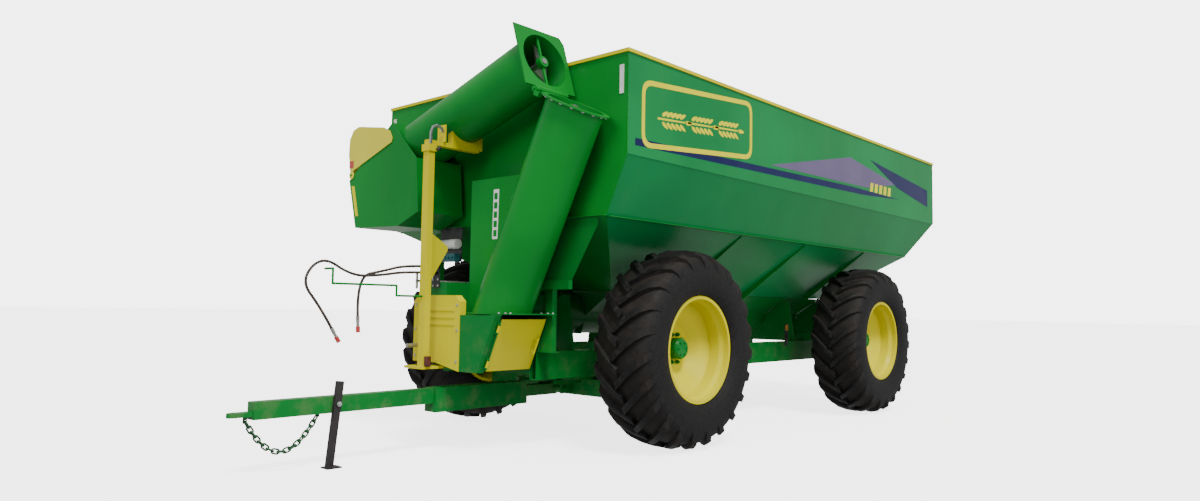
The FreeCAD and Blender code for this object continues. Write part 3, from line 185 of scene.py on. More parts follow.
class Finish:
    """A procedural material: one shader whose sockets are filled from nodes."""

    def __init__(self, name):
        self.material = bpy.data.materials.new(name)
        self.material.use_nodes = True
        self.tree = self.material.node_tree
        self.shader = self.tree.nodes["Principled BSDF"]
        self.place = self.node("ShaderNodeTexCoord", out="Object")

    def node(self, kind, settings=None, values=None, out=0):
        made = self.tree.nodes.new(kind)
        for key, setting in (settings or {}).items():
            if key == "stops":
                while len(made.color_ramp.elements) < len(setting):
                    made.color_ramp.elements.new(0.5)
                for element, (at, colour) in zip(made.color_ramp.elements, setting):
                    element.position = at
                    element.color = (*colour, 1) if len(colour) == 3 else colour
            else:
                setattr(made, key, setting)
        values = values or {}
        pairs = values.items() if isinstance(values, dict) else enumerate(values)
        for key, value in pairs:
            self.fill(made.inputs[key], value)
        return Value(self, made.outputs[out])

    def fill(self, socket, value):
        if isinstance(value, Value):
            self.tree.links.new(value.socket, socket)
        elif socket.type == "RGBA" and len(value) == 3:
            socket.default_value = (*value, 1)
        else:
            socket.default_value = value

    def set(self, **sockets):
        for key, value in sockets.items():
            self.fill(self.shader.inputs[key.replace("_", " ")], value)
        return self

    def grain(self, scale, detail=3.0, rough=0.5, at=None, stretch=None):
        """Noise between 0 and 1 at a scale per metre."""
        where = at or self.place
        if stretch:
            where = self.node("ShaderNodeMapping", None, {"Vector": where, "Scale": stretch})
        return self.node("ShaderNodeTexNoise", None,
                         {"Vector": where, "Scale": scale, "Detail": detail, "Roughness": rough})

    def axis(self, index, at=None):
        return self.node("ShaderNodeSeparateXYZ", None, [at or self.place], out=index)

    def facing_up(self):
        normal = self.node("ShaderNodeNewGeometry", out="Normal")
        return self.node("ShaderNodeSeparateXYZ", None, [normal], out=2)

    def step(self, value, low, high):
        """0 below low, 1 above high, smooth between them."""
        return self.node("ShaderNodeMapRange", {"interpolation_type": "SMOOTHSTEP"},
                         {"Value": value, "From Min": low, "From Max": high})

    def larger(self, a, b):
        return self.node("ShaderNodeMath", {"operation": "MAXIMUM"}, [a, b])

    def mix(self, share, a, b):
        return self.node("ShaderNodeMix", {"data_type": "RGBA"}, {0: share, 6: a, 7: b}, out=2)

    def bump(self, height, strength, distance, under=None):
        values = {"Height": height, "Strength": strength, "Distance": distance}
        if under:
            values["Normal"] = under
        return self.node("ShaderNodeBump", None, values)


# ---------------------------------------------------------------- finishes
DUST = (0.30, 0.24, 0.16)


def enamel(name, colour, deep, dust=0.35, gloss=0.30):
    """Sprayed enamel: two close tones, orange peel, and road dust low down and on upward faces."""
    f = Finish(name)
    tone = f.step(f.grain(0.9, 3.0), 0.30, 0.70)
    base = f.mix(tone, deep, colour)
    speck = f.step(f.grain(160, 2.0), 0.66, 0.74)
    base = f.mix(speck * 0.10, base, tuple(0.5 * c + 0.05 for c in colour))
    low = 1 - f.step(f.axis(2), 0.35, 1.45)
    flat = f.step(f.facing_up(), 0.55, 0.95)
    patches = f.step(f.grain(7, 5.0, 0.62), 0.42, 0.72)
    streak = f.step(f.grain(5, 4.0, 0.6, stretch=(1.0, 1.0, 0.12)), 0.50, 0.80)
    grime = f.larger(low * patches * 0.5, flat * patches * 0.7)
    grime = f.larger(grime * dust, streak * (dust * 0.10))
    base = f.mix(grime, base, DUST)
    peel = f.grain(420, 2.0)
    waves = f.grain(2.4, 2.0)
    normal = f.bump(peel, 0.10, 0.0006, f.bump(waves, 0.18, 0.010))
    roughness = gloss + 0.10 * f.grain(14, 4.0) + 0.55 * grime
    return f.set(Base_Color=base, Roughness=roughness, Normal=normal,
                 Coat_Weight=0.05 - 0.04 * grime, Coat_Roughness=0.15,
                 Specular_IOR_Level=0.16).material


def rubber(name, centre):
    """Tyre rubber: near black, dusty between the bars, a painted highlight with scuffing on the bar tops,
    fine rings on the side walls.
    """
    f = Finish(name)
    y = f.axis(1) - centre[1]
    z = f.axis(2) - centre[2]
    radius = (y * y + z * z) ** 0.5
    patches = f.step(f.grain(9, 5.0, 0.65), 0.38, 0.72)
    groove = 1 - f.step(radius, 0.838, 0.852)
    tread = f.step(radius, 0.74, 0.80)
    side = 1 - f.step(radius, 0.70, 0.76)
    dust = tread * groove * (0.30 + 0.50 * patches) + side * patches * 0.16
    blotches = f.step(f.grain(30, 3.0), 0.3, 0.7)
    base = f.mix(blotches, (0.0032, 0.0031, 0.0034), (0.0075, 0.0070, 0.0070))
    base = f.mix(dust * 0.30, base, (0.060, 0.046, 0.036))
    # The bar tops are painted a lighter grey in patches: a painted highlight, together with scuffing of the
    # rubber.
    scuff_and_highlight = f.step(radius, 0.868, 0.876) * f.step(f.grain(22, 4.0), 0.40, 0.65)
    base = f.mix(scuff_and_highlight * 0.4, base, (0.060, 0.054, 0.050))
    rings = f.node("ShaderNodeMath", {"operation": "SINE"}, [radius * 620.0])
    band = f.step(radius, 0.520, 0.530) * (1 - f.step(radius, 0.600, 0.610))
    normal = f.bump(rings * band, 0.35, 0.0020, f.bump(f.grain(90, 4.0, 0.7), 0.22, 0.0020))
    roughness = 0.52 + 0.30 * dust + 0.12 * f.grain(40, 3.0)
    return f.set(Base_Color=base, Roughness=roughness, Normal=normal,
                 Specular_IOR_Level=0.22).material


def bare_steel(name, colour, rough=0.32, rust=0.30, metal=0.9):
    """Worn steel with fine scratches and rust in patches."""
    f = Finish(name)
    brushed = f.grain(60, 3.0, 0.6, stretch=(1.0, 9.0, 9.0))
    spots = f.step(f.grain(11, 6.0, 0.7), 0.56, 0.72)
    base = f.mix(brushed, tuple(0.75 * c for c in colour), colour)
    base = f.mix(spots * rust, base, (0.19, 0.075, 0.03))
    normal = f.bump(f.grain(240, 3.0), 0.20, 0.0006)
    roughness = rough + 0.16 * brushed + 0.3 * rust * spots
    return f.set(Base_Color=base, Roughness=roughness, Normal=normal,
                 Metallic=metal - 0.8 * rust * spots).material


def oiled_steel(name):
    """Steel under a patchy film of oil."""
    f = Finish(name)
    film = f.step(f.grain(26, 5.0, 0.65), 0.35, 0.7)
    base = f.mix(film, (0.045, 0.038, 0.032), (0.16, 0.145, 0.13))
    return f.set(Base_Color=base, Roughness=0.28 + 0.3 * film, Metallic=0.75,
                 Normal=f.bump(f.grain(300, 2.0), 0.2, 0.0005)).material


def dark_paint(name, colour, rough=0.42):
    """Brushed paint in a dark tone, chipped here and there."""
    f = Finish(name)
    tone = f.step(f.grain(16, 4.0), 0.3, 0.75)
    base = f.mix(tone, colour, tuple(c * 1.7 + 0.006 for c in colour))
    chips = f.step(f.grain(46, 5.0, 0.7), 0.68, 0.74)
    base = f.mix(chips * 0.5, base, (0.16, 0.10, 0.07))
    return f.set(Base_Color=base, Roughness=rough + 0.2 * tone,
                 Normal=f.bump(f.grain(220, 3.0), 0.25, 0.0008)).material


def hose_rubber(name):
    """Braided hose cover, along the curve's own map."""
    f = Finish(name)
    along = f.node("ShaderNodeTexCoord", out="UV")
    braid = f.node("ShaderNodeTexWave", {"wave_type": "BANDS", "bands_direction": "DIAGONAL"},
                   {"Vector": along, "Scale": 90.0, "Distortion": 0.4})
    tone = f.step(f.grain(12, 4.0), 0.3, 0.75)
    base = f.mix(tone, (0.020, 0.014, 0.011), (0.060, 0.040, 0.030))
    return f.set(Base_Color=base, Roughness=0.50 + 0.2 * tone,
                 Normal=f.bump(braid, 0.25, 0.0006)).material


def lens(name, colour):
    """Moulded lens with small prisms."""
    f = Finish(name)
    prisms = f.node("ShaderNodeTexVoronoi", {"feature": "DISTANCE_TO_EDGE"},
                    {"Vector": f.place, "Scale": 95.0})
    ring = f.step(prisms, 0.0, 0.12)
    base = f.mix(ring, tuple(0.55 * c for c in colour), colour)
    return f.set(Base_Color=base, Roughness=0.12 + 0.1 * f.grain(60), Coat_Weight=0.8,
                 Coat_Roughness=0.05, Normal=f.bump(ring, 0.35, 0.002)).material


def vinyl(name, colour):
    """Printed film on the panels: slight fading and scuffs."""
    f = Finish(name)
    fade = f.step(f.grain(3.0, 4.0), 0.3, 0.7)
    base = f.mix(fade * 0.35, colour, tuple(min(1.0, 1.18 * c + 0.015) for c in colour))
    scuff = f.step(f.grain(40, 5.0, 0.7), 0.66, 0.76)
    base = f.mix(scuff * 0.12, base, (0.5, 0.5, 0.48))
    return f.set(Base_Color=base, Roughness=0.26 + 0.25 * scuff + 0.06 * f.grain(20),
                 Coat_Weight=0.05, Coat_Roughness=0.10, Specular_IOR_Level=0.16,
                 Normal=f.bump(f.grain(300), 0.05, 0.0004)).material


def chrome(name):
    """Plated rod with a thin film of oil."""
    f = Finish(name)
    film = f.grain(30, 4.0)
    return f.set(Base_Color=f.mix(film, (0.62, 0.62, 0.64), (0.78, 0.78, 0.80)), Metallic=1.0,
                 Roughness=0.08 + 0.1 * film).material


def valve_parts(name):
    """Three finishes on one unit: dark bracket, pale tank above, blue-green valve block below."""
    f = Finish(name)
    z = f.axis(2)
    y = f.axis(1)
    front = 1 - f.step(y, HOP_F - 0.0225, HOP_F - 0.0205)
    tank = f.step(z, 1.7555, 1.7575) * (1 - f.step(z, 1.852, 1.854)) * front
    block = (1 - f.step(z, 1.713, 1.715)) * front
    tone = f.step(f.grain(14, 4.0), 0.3, 0.7)
    base = f.mix(tone, (0.02, 0.022, 0.024), (0.05, 0.05, 0.052))
    base = f.mix(tank, base, f.mix(tone, (0.62, 0.62, 0.58), (0.75, 0.75, 0.72)))
    base = f.mix(block, base, f.mix(tone, (0.01, 0.09, 0.10), (0.015, 0.13, 0.14)))
    return f.set(Base_Color=base, Roughness=0.34 + 0.2 * tone,
                 Normal=f.bump(f.grain(180), 0.2, 0.0008)).material


def coupler_parts(name):
    """Steel couplers with a red cap at their lower ends."""
    f = Finish(name)
    spots = f.step(f.grain(60, 4.0), 0.35, 0.7)
    cap = 1 - f.step(f.axis(2), 1.046, 1.049)
    near = 1 - f.step(f.axis(1), AXLE_F - 2.47, AXLE_F - 2.45)
    steel = f.mix(spots, (0.28, 0.27, 0.25), (0.46, 0.45, 0.43))
    low_cap = 1 - f.step(f.axis(2), 0.967, 0.971)
    red = f.larger(cap * (1 - near), low_cap)
    base = f.mix(red, steel, (0.45, 0.03, 0.025))
    return f.set(Base_Color=base, Metallic=0.85 * (1 - red),
                 Roughness=0.30 + 0.2 * spots).material


def floor_finish(name):
    """Pale studio floor, lit a little from itself so that it meets the backdrop."""
    f = Finish(name)
    return f.set(Base_Color=f.mix(f.grain(1.5, 4.0), (0.86, 0.86, 0.86), (0.90, 0.90, 0.90)),
                 Roughness=0.65 + 0.1 * f.grain(6), Specular_IOR_Level=0.1,
                 Emission_Color=(1.0, 1.0, 1.0), Emission_Strength=3.0).material


GREEN = enamel("green_enamel", (0.0, 0.215, 0.022), (0.0, 0.165, 0.017), dust=0.22)
GREEN_SIDE = enamel("green_enamel_panels", (0.0, 0.205, 0.050), (0.0, 0.165, 0.038), dust=0.18)
GREEN_LOW = enamel("green_enamel_low", (0.0, 0.165, 0.022), (0.0, 0.125, 0.016), dust=0.32)
YELLOW = enamel("yellow_enamel", (0.62, 0.56, 0.0), (0.56, 0.48, 0.0), dust=0.12)
PALE_YELLOW = enamel("pale_yellow_moulding", (0.66, 0.62, 0.06), (0.60, 0.55, 0.04),
                     dust=0.15, gloss=0.4)
STEEL = bare_steel("worn_steel", (0.50, 0.49, 0.47))
SCREW = bare_steel("screw_steel", (0.44, 0.43, 0.41), 0.26, 0.35)
ZINC = bare_steel("zinc_plate", (0.55, 0.55, 0.56), 0.34, 0.10)
CHAIN = oiled_steel("oiled_chain")
BLACK = dark_paint("black_paint", (0.014, 0.014, 0.016))
CHAIN_PAINT = dark_paint("chain_paint", (0.004, 0.050, 0.010), 0.40)
LATCH_RED = dark_paint("latch_red", (0.060, 0.008, 0.006))
LEG_PAINT = dark_paint("leg_paint", (0.008, 0.005, 0.006), 0.5)
CAST = dark_paint("gearbox_paint", (0.006, 0.10, 0.022), 0.36)
CHROME = chrome("rod_chrome")
HOSE = hose_rubber("hose_cover")
RED_LENS = lens("red_lens", (0.50, 0.012, 0.010))
AMBER_LENS = lens("amber_lens", (0.85, 0.28, 0.01))
CLEAR_LENS = lens("clear_reflector", (0.78, 0.78, 0.74))
NAVY = vinyl("navy_film", (0.002, 0.006, 0.060))
LILAC = vinyl("lilac_film", (0.110, 0.085, 0.170))
GOLD = vinyl("yellow_film", (0.66, 0.60, 0.0))
PAPER = vinyl("white_film", (0.74, 0.76, 0.74))
ORANGE = vinyl("orange_film", (0.95, 0.20, 0.01))
RED_FILM = vinyl("red_film", (0.50, 0.012, 0.012))
VALVES = valve_parts("valve_parts")
COUPLERS = coupler_parts("coupler_parts")

CAD_FINISHES = {
    GREEN_SIDE: ["side_upper", "side_middle", "side_lower", "hopper_rear"],
    GREEN: ["hopper_front", "side_ribs", "inner_braces", "lower_tube", "upper_tube", "lower_flange",
            "upper_flange", "tube_web", "head_shell", "gate_seat", "hose_holder"],
    GREEN_LOW: ["trough", "boot", "chassis_rails", "cross_members", "saddles", "front_portal",
                "rear_axle", "front_axle", "drawbar", "hub_front_left", "hub_front_right",
                "hub_rear_left", "hub_rear_right"],
    YELLOW: ["rim_rail", "drive_guard", "clean_door", "auger_post", "rim_front_left",
             "rim_front_right", "rim_rear_left", "rim_rear_right"],
    PALE_YELLOW: ["deflector"],
    BLACK: ["fold_barrel", "hose_bulkhead", "rear_lamps"],
    SCREW: ["floor_auger", "lower_auger", "upper_auger"],
    STEEL: ["input_shaft", "gear_shaft", "flow_gate"],
    CHAIN: ["drive_chain"],
    CHAIN_PAINT: ["safety_chain"],
    LEG_PAINT: ["stand_leg"],
    CAST: ["gearbox"],
    CHROME: ["fold_rod"],
    RED_LENS: ["head_reflector"],
    VALVES: ["hydraulic_block"],
    COUPLERS: ["hose_couplers"],
}
for finish, names in CAD_FINISHES.items():
    for name in names:
        nodes[name].data.materials.clear()
        nodes[name].data.materials.append(finish)


# ---------------------------------------------------------------- modelling
def clear():
    bpy.ops.object.select_all(action="DESELECT")


def only(piece):
    clear()
    piece.select_set(True)
    bpy.context.view_layer.objects.active = piece


def settle(piece, name, body, finish, smooth=35.0):
    """Applies what is left, turns the faces outwards and hands the piece to its body."""
    only(piece)
    for modifier in list(piece.modifiers):
        bpy.ops.object.modifier_apply(modifier=modifier.name)
    bpy.ops.object.transform_apply(location=True, rotation=True, scale=True)
    bpy.ops.object.mode_set(mode="EDIT")
    bpy.ops.mesh.select_all(action="SELECT")
    bpy.ops.mesh.remove_doubles(threshold=1e-6)
    bpy.ops.mesh.normals_make_consistent(inside=False)
    bpy.ops.object.mode_set(mode="OBJECT")
    bpy.ops.object.shade_smooth_by_angle(angle=math.radians(smooth))
    piece.name = name
    piece.data.name = name
    piece.data.materials.clear()
    piece.data.materials.append(finish)
    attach(piece, body)
    return piece


def outline(points):
    """A flat face with these corners, in order."""
    clear()
    bpy.ops.mesh.primitive_circle_add(vertices=len(points), radius=1, fill_type="NGON",
                                      location=(0, 0, 0))
    piece = bpy.context.object
    for vertex, point in zip(piece.data.vertices, points):
        vertex.co = point
    return piece


def pulled(piece, push):
    """The whole face extruded along push."""
    only(piece)
    bpy.ops.object.mode_set(mode="EDIT")
    bpy.ops.mesh.select_all(action="SELECT")
    bpy.ops.mesh.extrude_region_move(TRANSFORM_OT_translate={"value": Vector(push)})
    bpy.ops.object.mode_set(mode="OBJECT")
    return piece


def bevelled(piece, width, segments=2, angle=30.0):
    modifier = piece.modifiers.new("edge", "BEVEL")
    modifier.width = width
    modifier.segments = segments
    modifier.limit_method = "ANGLE"
    modifier.angle_limit = math.radians(angle)
    return piece


def joined(pieces):
    clear()
    for piece in pieces:
        piece.select_set(True)
    bpy.context.view_layer.objects.active = pieces[0]
    if len(pieces) > 1:
        bpy.ops.object.join()
    return pieces[0]


def copied(piece, matrix):
    twin = piece.copy()
    twin.data = piece.data.copy()
    bpy.context.scene.collection.objects.link(twin)
    twin.data.transform(matrix)
    return twin


def aimed(place, direction):
    """Matrix that takes +Z to direction and the origin to place."""
    return Matrix.Translation(place) @ Vector(direction).to_track_quat("Z", "Y").to_matrix().to_4x4()


# ---------------------------------------------------------------- hoses
def hose(name, x, points, plain):
    """A free hose in place of the plain node: one smooth line that ends in its coupler."""
    curve = bpy.data.curves.new(name, "CURVE")
    curve.dimensions = "3D"
    curve.bevel_depth = 0.011
    curve.bevel_resolution = 4
    curve.use_fill_caps = True
    spline = curve.splines.new("NURBS")
    spline.points.add(len(points) - 1)
    for point, (y, z) in zip(spline.points, points):
        point.co = (x, y, z, 1)
    spline.order_u = 3
    spline.use_endpoint_u = True
    spline.resolution_u = 14
    piece = bpy.data.objects.new(name, curve)
    bpy.context.scene.collection.objects.link(piece)
    piece.data.materials.append(HOSE)
    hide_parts(plain)
    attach(piece, "chassis")
    return piece


BULKHEAD_Y = FRONT_OF_TUBE - 0.058
LONG_ROUTE = [
    (BULKHEAD_Y, 1.505), (AXLE_F - 1.890, 1.505), (AXLE_F - 2.150, 1.462), (AXLE_F - 2.400, 1.450),
    (AXLE_F - 2.660, 1.600), (AXLE_F - 2.830, 1.400), (AXLE_F - 2.660, 1.200), (AXLE_F - 2.560, 1.040)]
SHORT_ROUTE = [
    (BULKHEAD_Y, 1.560), (AXLE_F - 1.870, 1.560), (AXLE_F - 2.100, 1.500), (AXLE_F - 2.335, 1.450),
    (AXLE_F - 2.315, 1.130)]
long_hose = hose("long_hose", -0.064, LONG_ROUTE, "hose_long")
short_hose = hose("short_hose", -0.092, SHORT_ROUTE, "hose_short")


# ---------------------------------------------------------------- tyres
# the tyre's closed section, as (across, radius): the outside from bead to bead, then the inside
TYRE_SECTION = [
    (-0.238, 0.470), (-0.262, 0.478), (-0.284, 0.510), (-0.297, 0.570), (-0.301, 0.640), (-0.296, 0.700),
    (-0.284, 0.745), (-0.262, 0.780), (-0.225, 0.803), (-0.150, 0.819), (-0.060, 0.828), (0.060, 0.828),
    (0.150, 0.819), (0.225, 0.803), (0.262, 0.780), (0.284, 0.745), (0.296, 0.700), (0.301, 0.640),
    (0.297, 0.570), (0.284, 0.510), (0.262, 0.478), (0.238, 0.470), (0.255, 0.600), (0.255, 0.720),
    (0.200, 0.775), (0.000, 0.795), (-0.200, 0.775), (-0.255, 0.720), (-0.255, 0.600)]
# a tread bar's foot as (across, radius), with its height and its lag round the tyre at each station
BAR_LINE = [
    (-0.022, 0.822), (0.050, 0.823), (0.125, 0.817), (0.195, 0.803), (0.245, 0.778), (0.272, 0.742),
    (0.288, 0.702), (0.294, 0.672)]
BAR_HEIGHT = [0.0500, 0.0515, 0.0520, 0.0510, 0.0440, 0.0260, 0.0100, 0.0010]
BAR_SWEEP = [0.000, 0.062, 0.128, 0.190, 0.236, 0.262, 0.272, 0.276]
BARS = 23
BAR_TOP, BAR_FOOT, BAR_FLARE = 0.062, 0.092, 0.016
BAR_ROOT = -0.012


def tread_bar(side):
    """One bar from the middle over the shoulder, at the top of a wheel centred on the origin."""
    clear()
    bpy.ops.mesh.primitive_cube_add(size=1, location=(0, 0, 0))
    bar = bpy.context.object
    bpy.ops.object.mode_set(mode="EDIT")
    bpy.ops.mesh.select_all(action="DESELECT")
    bpy.ops.object.mode_set(mode="OBJECT")
    for edge in bar.data.edges:
        a, b = (bar.data.vertices[i].co for i in edge.vertices)
        edge.select = abs(a.x - b.x) > 0.5
    bpy.ops.object.mode_set(mode="EDIT")
    bpy.ops.mesh.select_mode(type="EDGE")
    bpy.ops.mesh.subdivide(number_cuts=len(BAR_LINE) - 2)
    bpy.ops.object.mode_set(mode="OBJECT")
    last = len(BAR_LINE) - 1
    for vertex in bar.data.vertices:
        k = min(last, max(0, round((vertex.co.x + 0.5) * last)))
        dx, r = BAR_LINE[k]
        before, after = BAR_LINE[max(0, k - 1)], BAR_LINE[min(last, k + 1)]
        slope = Vector((after[0] - before[0], after[1] - before[1])).normalized()
        outward = Vector((-slope.y, slope.x))
        top = vertex.co.z > 0
        lift = BAR_HEIGHT[k] if top else BAR_ROOT
        dx += outward.x * lift
        r += outward.y * lift
        width = (BAR_TOP if top else BAR_FOOT) + BAR_FLARE * k / last
        around = BAR_SWEEP[k] + (width if vertex.co.y > 0 else -width) / 2
        turn = around / 0.85
        vertex.co = (side * dx, r * math.sin(turn), r * math.cos(turn))
    bevelled(bar, 0.0055, 2, 40)
    only(bar)
    bpy.ops.object.modifier_apply(modifier="edge")
    return bar


def tyre(name, side, y):
    centre = Vector((side * WHEEL_X, y, HUB_Z))
    carcass = outline([(dx, 0, r) for dx, r in TYRE_SECTION])
    only(carcass)
    bpy.ops.object.mode_set(mode="EDIT")
    bpy.ops.mesh.select_all(action="SELECT")
    bpy.ops.mesh.delete(type="ONLY_FACE")
    bpy.ops.mesh.select_all(action="SELECT")
    bpy.ops.mesh.spin(steps=112, angle=math.tau, center=(0, 0, 0), axis=(1, 0, 0))
    bpy.ops.mesh.select_all(action="SELECT")
    bpy.ops.mesh.remove_doubles(threshold=1e-5)
    bpy.ops.object.mode_set(mode="OBJECT")
    pieces = [carcass]
    for hand in (1, -1):
        bar = tread_bar(hand)
        for k in range(BARS):
            turn = math.tau * (k + (0.5 if hand < 0 else 0)) / BARS
            pieces.append(copied(bar, Matrix.Rotation(turn, 4, "X")))
        bpy.data.objects.remove(bar)
    whole = joined(pieces)
    whole.data.transform(Matrix.Translation(centre))
    finish = rubber("tyre_rubber_" + name, centre)
    settle(whole, "tread_" + name, "wheel_" + name, finish, 32)
    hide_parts("tyre_" + name)


WHEELS = (("front_left", 1, AXLE_F), ("front_right", -1, AXLE_F),
          ("rear_left", 1, AXLE_R), ("rear_right", -1, AXLE_R))
for wheel_name, wheel_side, wheel_y in WHEELS:
    tyre(wheel_name, wheel_side, wheel_y)


# ---------------------------------------------------------------- bolts, welds and small iron
def bolt_head(radius, height):
    """Hexagon head on a washer, standing on the origin."""
    clear()
    bpy.ops.mesh.primitive_cylinder_add(vertices=6, radius=radius, depth=height,
                                        location=(0, 0, height / 2 + 0.002))
    head = bevelled(bpy.context.object, radius * 0.10, 1, 30)
    only(head)
    bpy.ops.object.modifier_apply(modifier="edge")
    clear()
    bpy.ops.mesh.primitive_cylinder_add(vertices=16, radius=radius * 1.5, depth=0.003,
                                        location=(0, 0, 0.0015))
    washer = bpy.context.object
    return joined([head, washer])


def bolts(name, body, places, radius=0.009, height=0.007, finish=None):
    """A set of equal bolts; places are (point, direction) pairs."""
    first = bolt_head(radius, height)
    only(first)
    bpy.ops.object.transform_apply(location=True, rotation=True, scale=True)
    pieces = [copied(first, aimed(place, direction)) for place, direction in places]
    bpy.data.objects.remove(first)
    return settle(joined(pieces), name, body, finish or ZINC)


def weld(name, body, points, radius=0.004, finish=None):
    """A rippled bead along a line."""
    curve = bpy.data.curves.new(name, "CURVE")
    curve.dimensions = "3D"
    curve.bevel_depth = radius
    curve.bevel_resolution = 1
    spline = curve.splines.new("POLY")
    steps = []
    for a, b in zip(points[:-1], points[1:]):
        a, b = Vector(a), Vector(b)
        count = max(2, int((b - a).length / 0.02))
        steps += [a.lerp(b, k / count) for k in range(count)]
    steps.append(Vector(points[-1]))
    spline.points.add(len(steps) - 1)
    for k, (point, place) in enumerate(zip(spline.points, steps)):
        point.co = (*place, 1)
        point.radius = 1.0 + 0.22 * math.sin(k * 2.4)
    bead = bpy.data.objects.new(name, curve)
    bpy.context.scene.collection.objects.link(bead)
    only(bead)
    bpy.ops.object.convert(target="MESH")
    return settle(bpy.context.object, name, body, finish or GREEN, 60)


def panel(name, body, points, push, finish, round_edge=0.0):
    """A flat plate from its corners."""
    piece = pulled(outline(points), push)
    if round_edge:
        bevelled(piece, round_edge, 2)
    return settle(piece, name, body, finish)


def rounded(corners, radius, steps=5):
    """Corner points of a polygon in a plane, with each corner cut to an arc."""
    points = []
    count = len(corners)
    for k in range(count):
        before, here, after = (Vector(corners[(k + d) % count]) for d in (-1, 0, 1))
        a = here + (before - here).normalized() * radius
        b = here + (after - here).normalized() * radius
        for j in range(steps + 1):
            t = j / steps
            points.append(a * (1 - t) ** 2 + here * 2 * t * (1 - t) + b * t ** 2)
    return points


# ---------------------------------------------------------------- film on the upper panels
EARS = 3
GRAINS = 5
DASHES = 5


def on_side(side, corners):
    """Points (along from the front axle, height) placed on the face of a side's upper panel."""
    return [(side * PANEL_X, AXLE_F + y, z) for y, z in corners]


def film(name, corners, finish, side, lift):
    return panel(name, "chassis", on_side(side, corners), (side * lift, 0, 0), finish)


def film_set(name, outlines, side, lift):
    """Several shapes of the same film as one piece."""
    parts = [pulled(outline(on_side(side, corners)), (side * lift, 0, 0)) for corners in outlines]
    return settle(joined(parts), name, "chassis", GOLD)


def ear_leaf(y, z, turn, size):
    """Outline of one grain of the ear."""
    c, s = math.cos(turn), math.sin(turn)
    points = []
    for k in range(14):
        a = math.tau * k / 14
        dy, dz = size * 0.36 * math.sin(a) * (1 - 0.25 * math.cos(a)), size * math.cos(a)
        points.append((y + dy * c - dz * s, z + dy * s + dz * c))
    return points


def grain_ears():
    """Three ears in a row, each with pairs of grains, a tip and a stalk."""
    leaves = []
    for row in range(EARS):
        y, z = -0.55 + 0.42 * row, 2.80 + 0.036 * row
        for k in range(GRAINS):
            for hand in (1, -1):
                leaves.append(ear_leaf(y + 0.062 * k, z + 0.005 * k + hand * 0.050,
                                       math.radians(-90 + hand * 28), 0.046))
        leaves.append(ear_leaf(y + 0.335, z + 0.028, math.radians(-88), 0.050))
        leaves.append([(y - 0.10, z - 0.014), (y + 0.30, z + 0.020), (y + 0.30, z + 0.032),
                       (y - 0.10, z + 0.004)])
    return leaves


def frame_film(side, tag):
    """A plain rounded frame round the ears."""
    outer = rounded([(-0.86, 2.52), (0.82, 2.66), (0.82, 3.22), (-0.86, 3.08)], 0.12)
    inner = rounded([(-0.82, 2.565), (0.78, 2.70), (0.78, 3.175), (-0.82, 3.04)], 0.09)
    count = len(outer)
    ring = []
    for k in range(count):
        after = (k + 1) % count
        ring.append(outline(on_side(side, (outer[k], outer[after], inner[after], inner[k]))))
    whole = joined(ring)
    only(whole)
    bpy.ops.object.mode_set(mode="EDIT")
    bpy.ops.mesh.select_all(action="SELECT")
    bpy.ops.mesh.remove_doubles(threshold=1e-6)
    bpy.ops.mesh.extrude_region_move(TRANSFORM_OT_translate={"value": Vector((side * 0.0016, 0, 0))})
    bpy.ops.object.mode_set(mode="OBJECT")
    settle(whole, "frame_" + tag, "chassis", GOLD)


def side_films(side, tag):
    """A low stripe, two wedges, the framed ears and a row of dashes, each on its own level."""
    rise = 4.24 * 0.07 / 3.88
    film("stripe_" + tag, [(-0.94, 2.525), (3.30, 2.525 + rise), (4.40, 2.66), (3.00, 2.665),
                           (-0.94, 2.585)], NAVY, side, 0.0004)
    film("wedge_pale_" + tag, [(1.16, 2.66), (2.96, 3.00), (4.30, 2.84), (3.42, 2.70)],
         LILAC, side, 0.0008)
    film("wedge_dark_" + tag, [(3.51, 3.05), (5.36, 2.89), (5.36, 2.66), (4.34, 2.80)],
         NAVY, side, 0.0012)
    frame_film(side, tag)
    film_set("ears_" + tag, grain_ears(), side, 0.0006)
    starts = [3.50 + 0.13 * k for k in range(DASHES)]
    film_set("dashes_" + tag, [[(y, 2.665), (y + 0.08, 2.667), (y + 0.10, 2.775), (y + 0.02, 2.773)]
                               for y in starts], side, 0.0020)


for side, tag in SIDES:
    side_films(side, tag)


# ---------------------------------------------------------------- bolts on the flanges, guard, hubs and lid
def circle_spots(centre, axis, spoke, radius, count, skip=None):
    """Points on a circle square to axis, starting at spoke, each with the axis as its direction."""
    side = axis.cross(spoke)
    spots = []
    for k in range(count):
        a = math.tau * (k + 0.5) / count
        out = spoke * math.cos(a) + side * math.sin(a)
        if not skip or not skip(out):
            spots.append((centre + out * radius, axis))
    return spots


ALONG_Y = Vector((0, 1, 0))


def by_lower_hinge(out):
    return out.dot(-ACROSS) > 0.78 or out.dot(ALONG_Y) > 0.80


def by_upper_hinge(out):
    return out.dot(-OVER) > 0.78 or out.dot(ALONG_Y) > 0.80


lower_spots = circle_spots(LOW_TOP - UP * 0.012, -UP, ACROSS, 0.262, 18, by_lower_hinge)
upper_spots = circle_spots(MOUTH + FOLD * 0.012, FOLD, OVER, 0.260, 18, by_upper_hinge)
bolts("lower_flange_bolts", "chassis", lower_spots, 0.011)
bolts("upper_flange_bolts", "folding_tube", upper_spots, 0.011)
GUARD_Y = FRONT_OF_TUBE - 0.040 - 0.028
GUARD_SPOTS = ((-0.27, 0.79), (-0.27, 1.02), (-0.27, 1.23), (0.30, 0.76), (0.30, 1.02), (0.30, 1.23))
bolts("guard_bolts", "chassis", [((x, GUARD_Y, z), (0, -1, 0)) for x, z in GUARD_SPOTS], 0.008)
bolts("boot_lid_bolts", "chassis", [((x, y, 1.168), (0, 0, 1)) for x in (0.72, 0.80, 0.86)
                                    for y in (TUBE_Y - 0.190, TUBE_Y + 0.285)], 0.009)
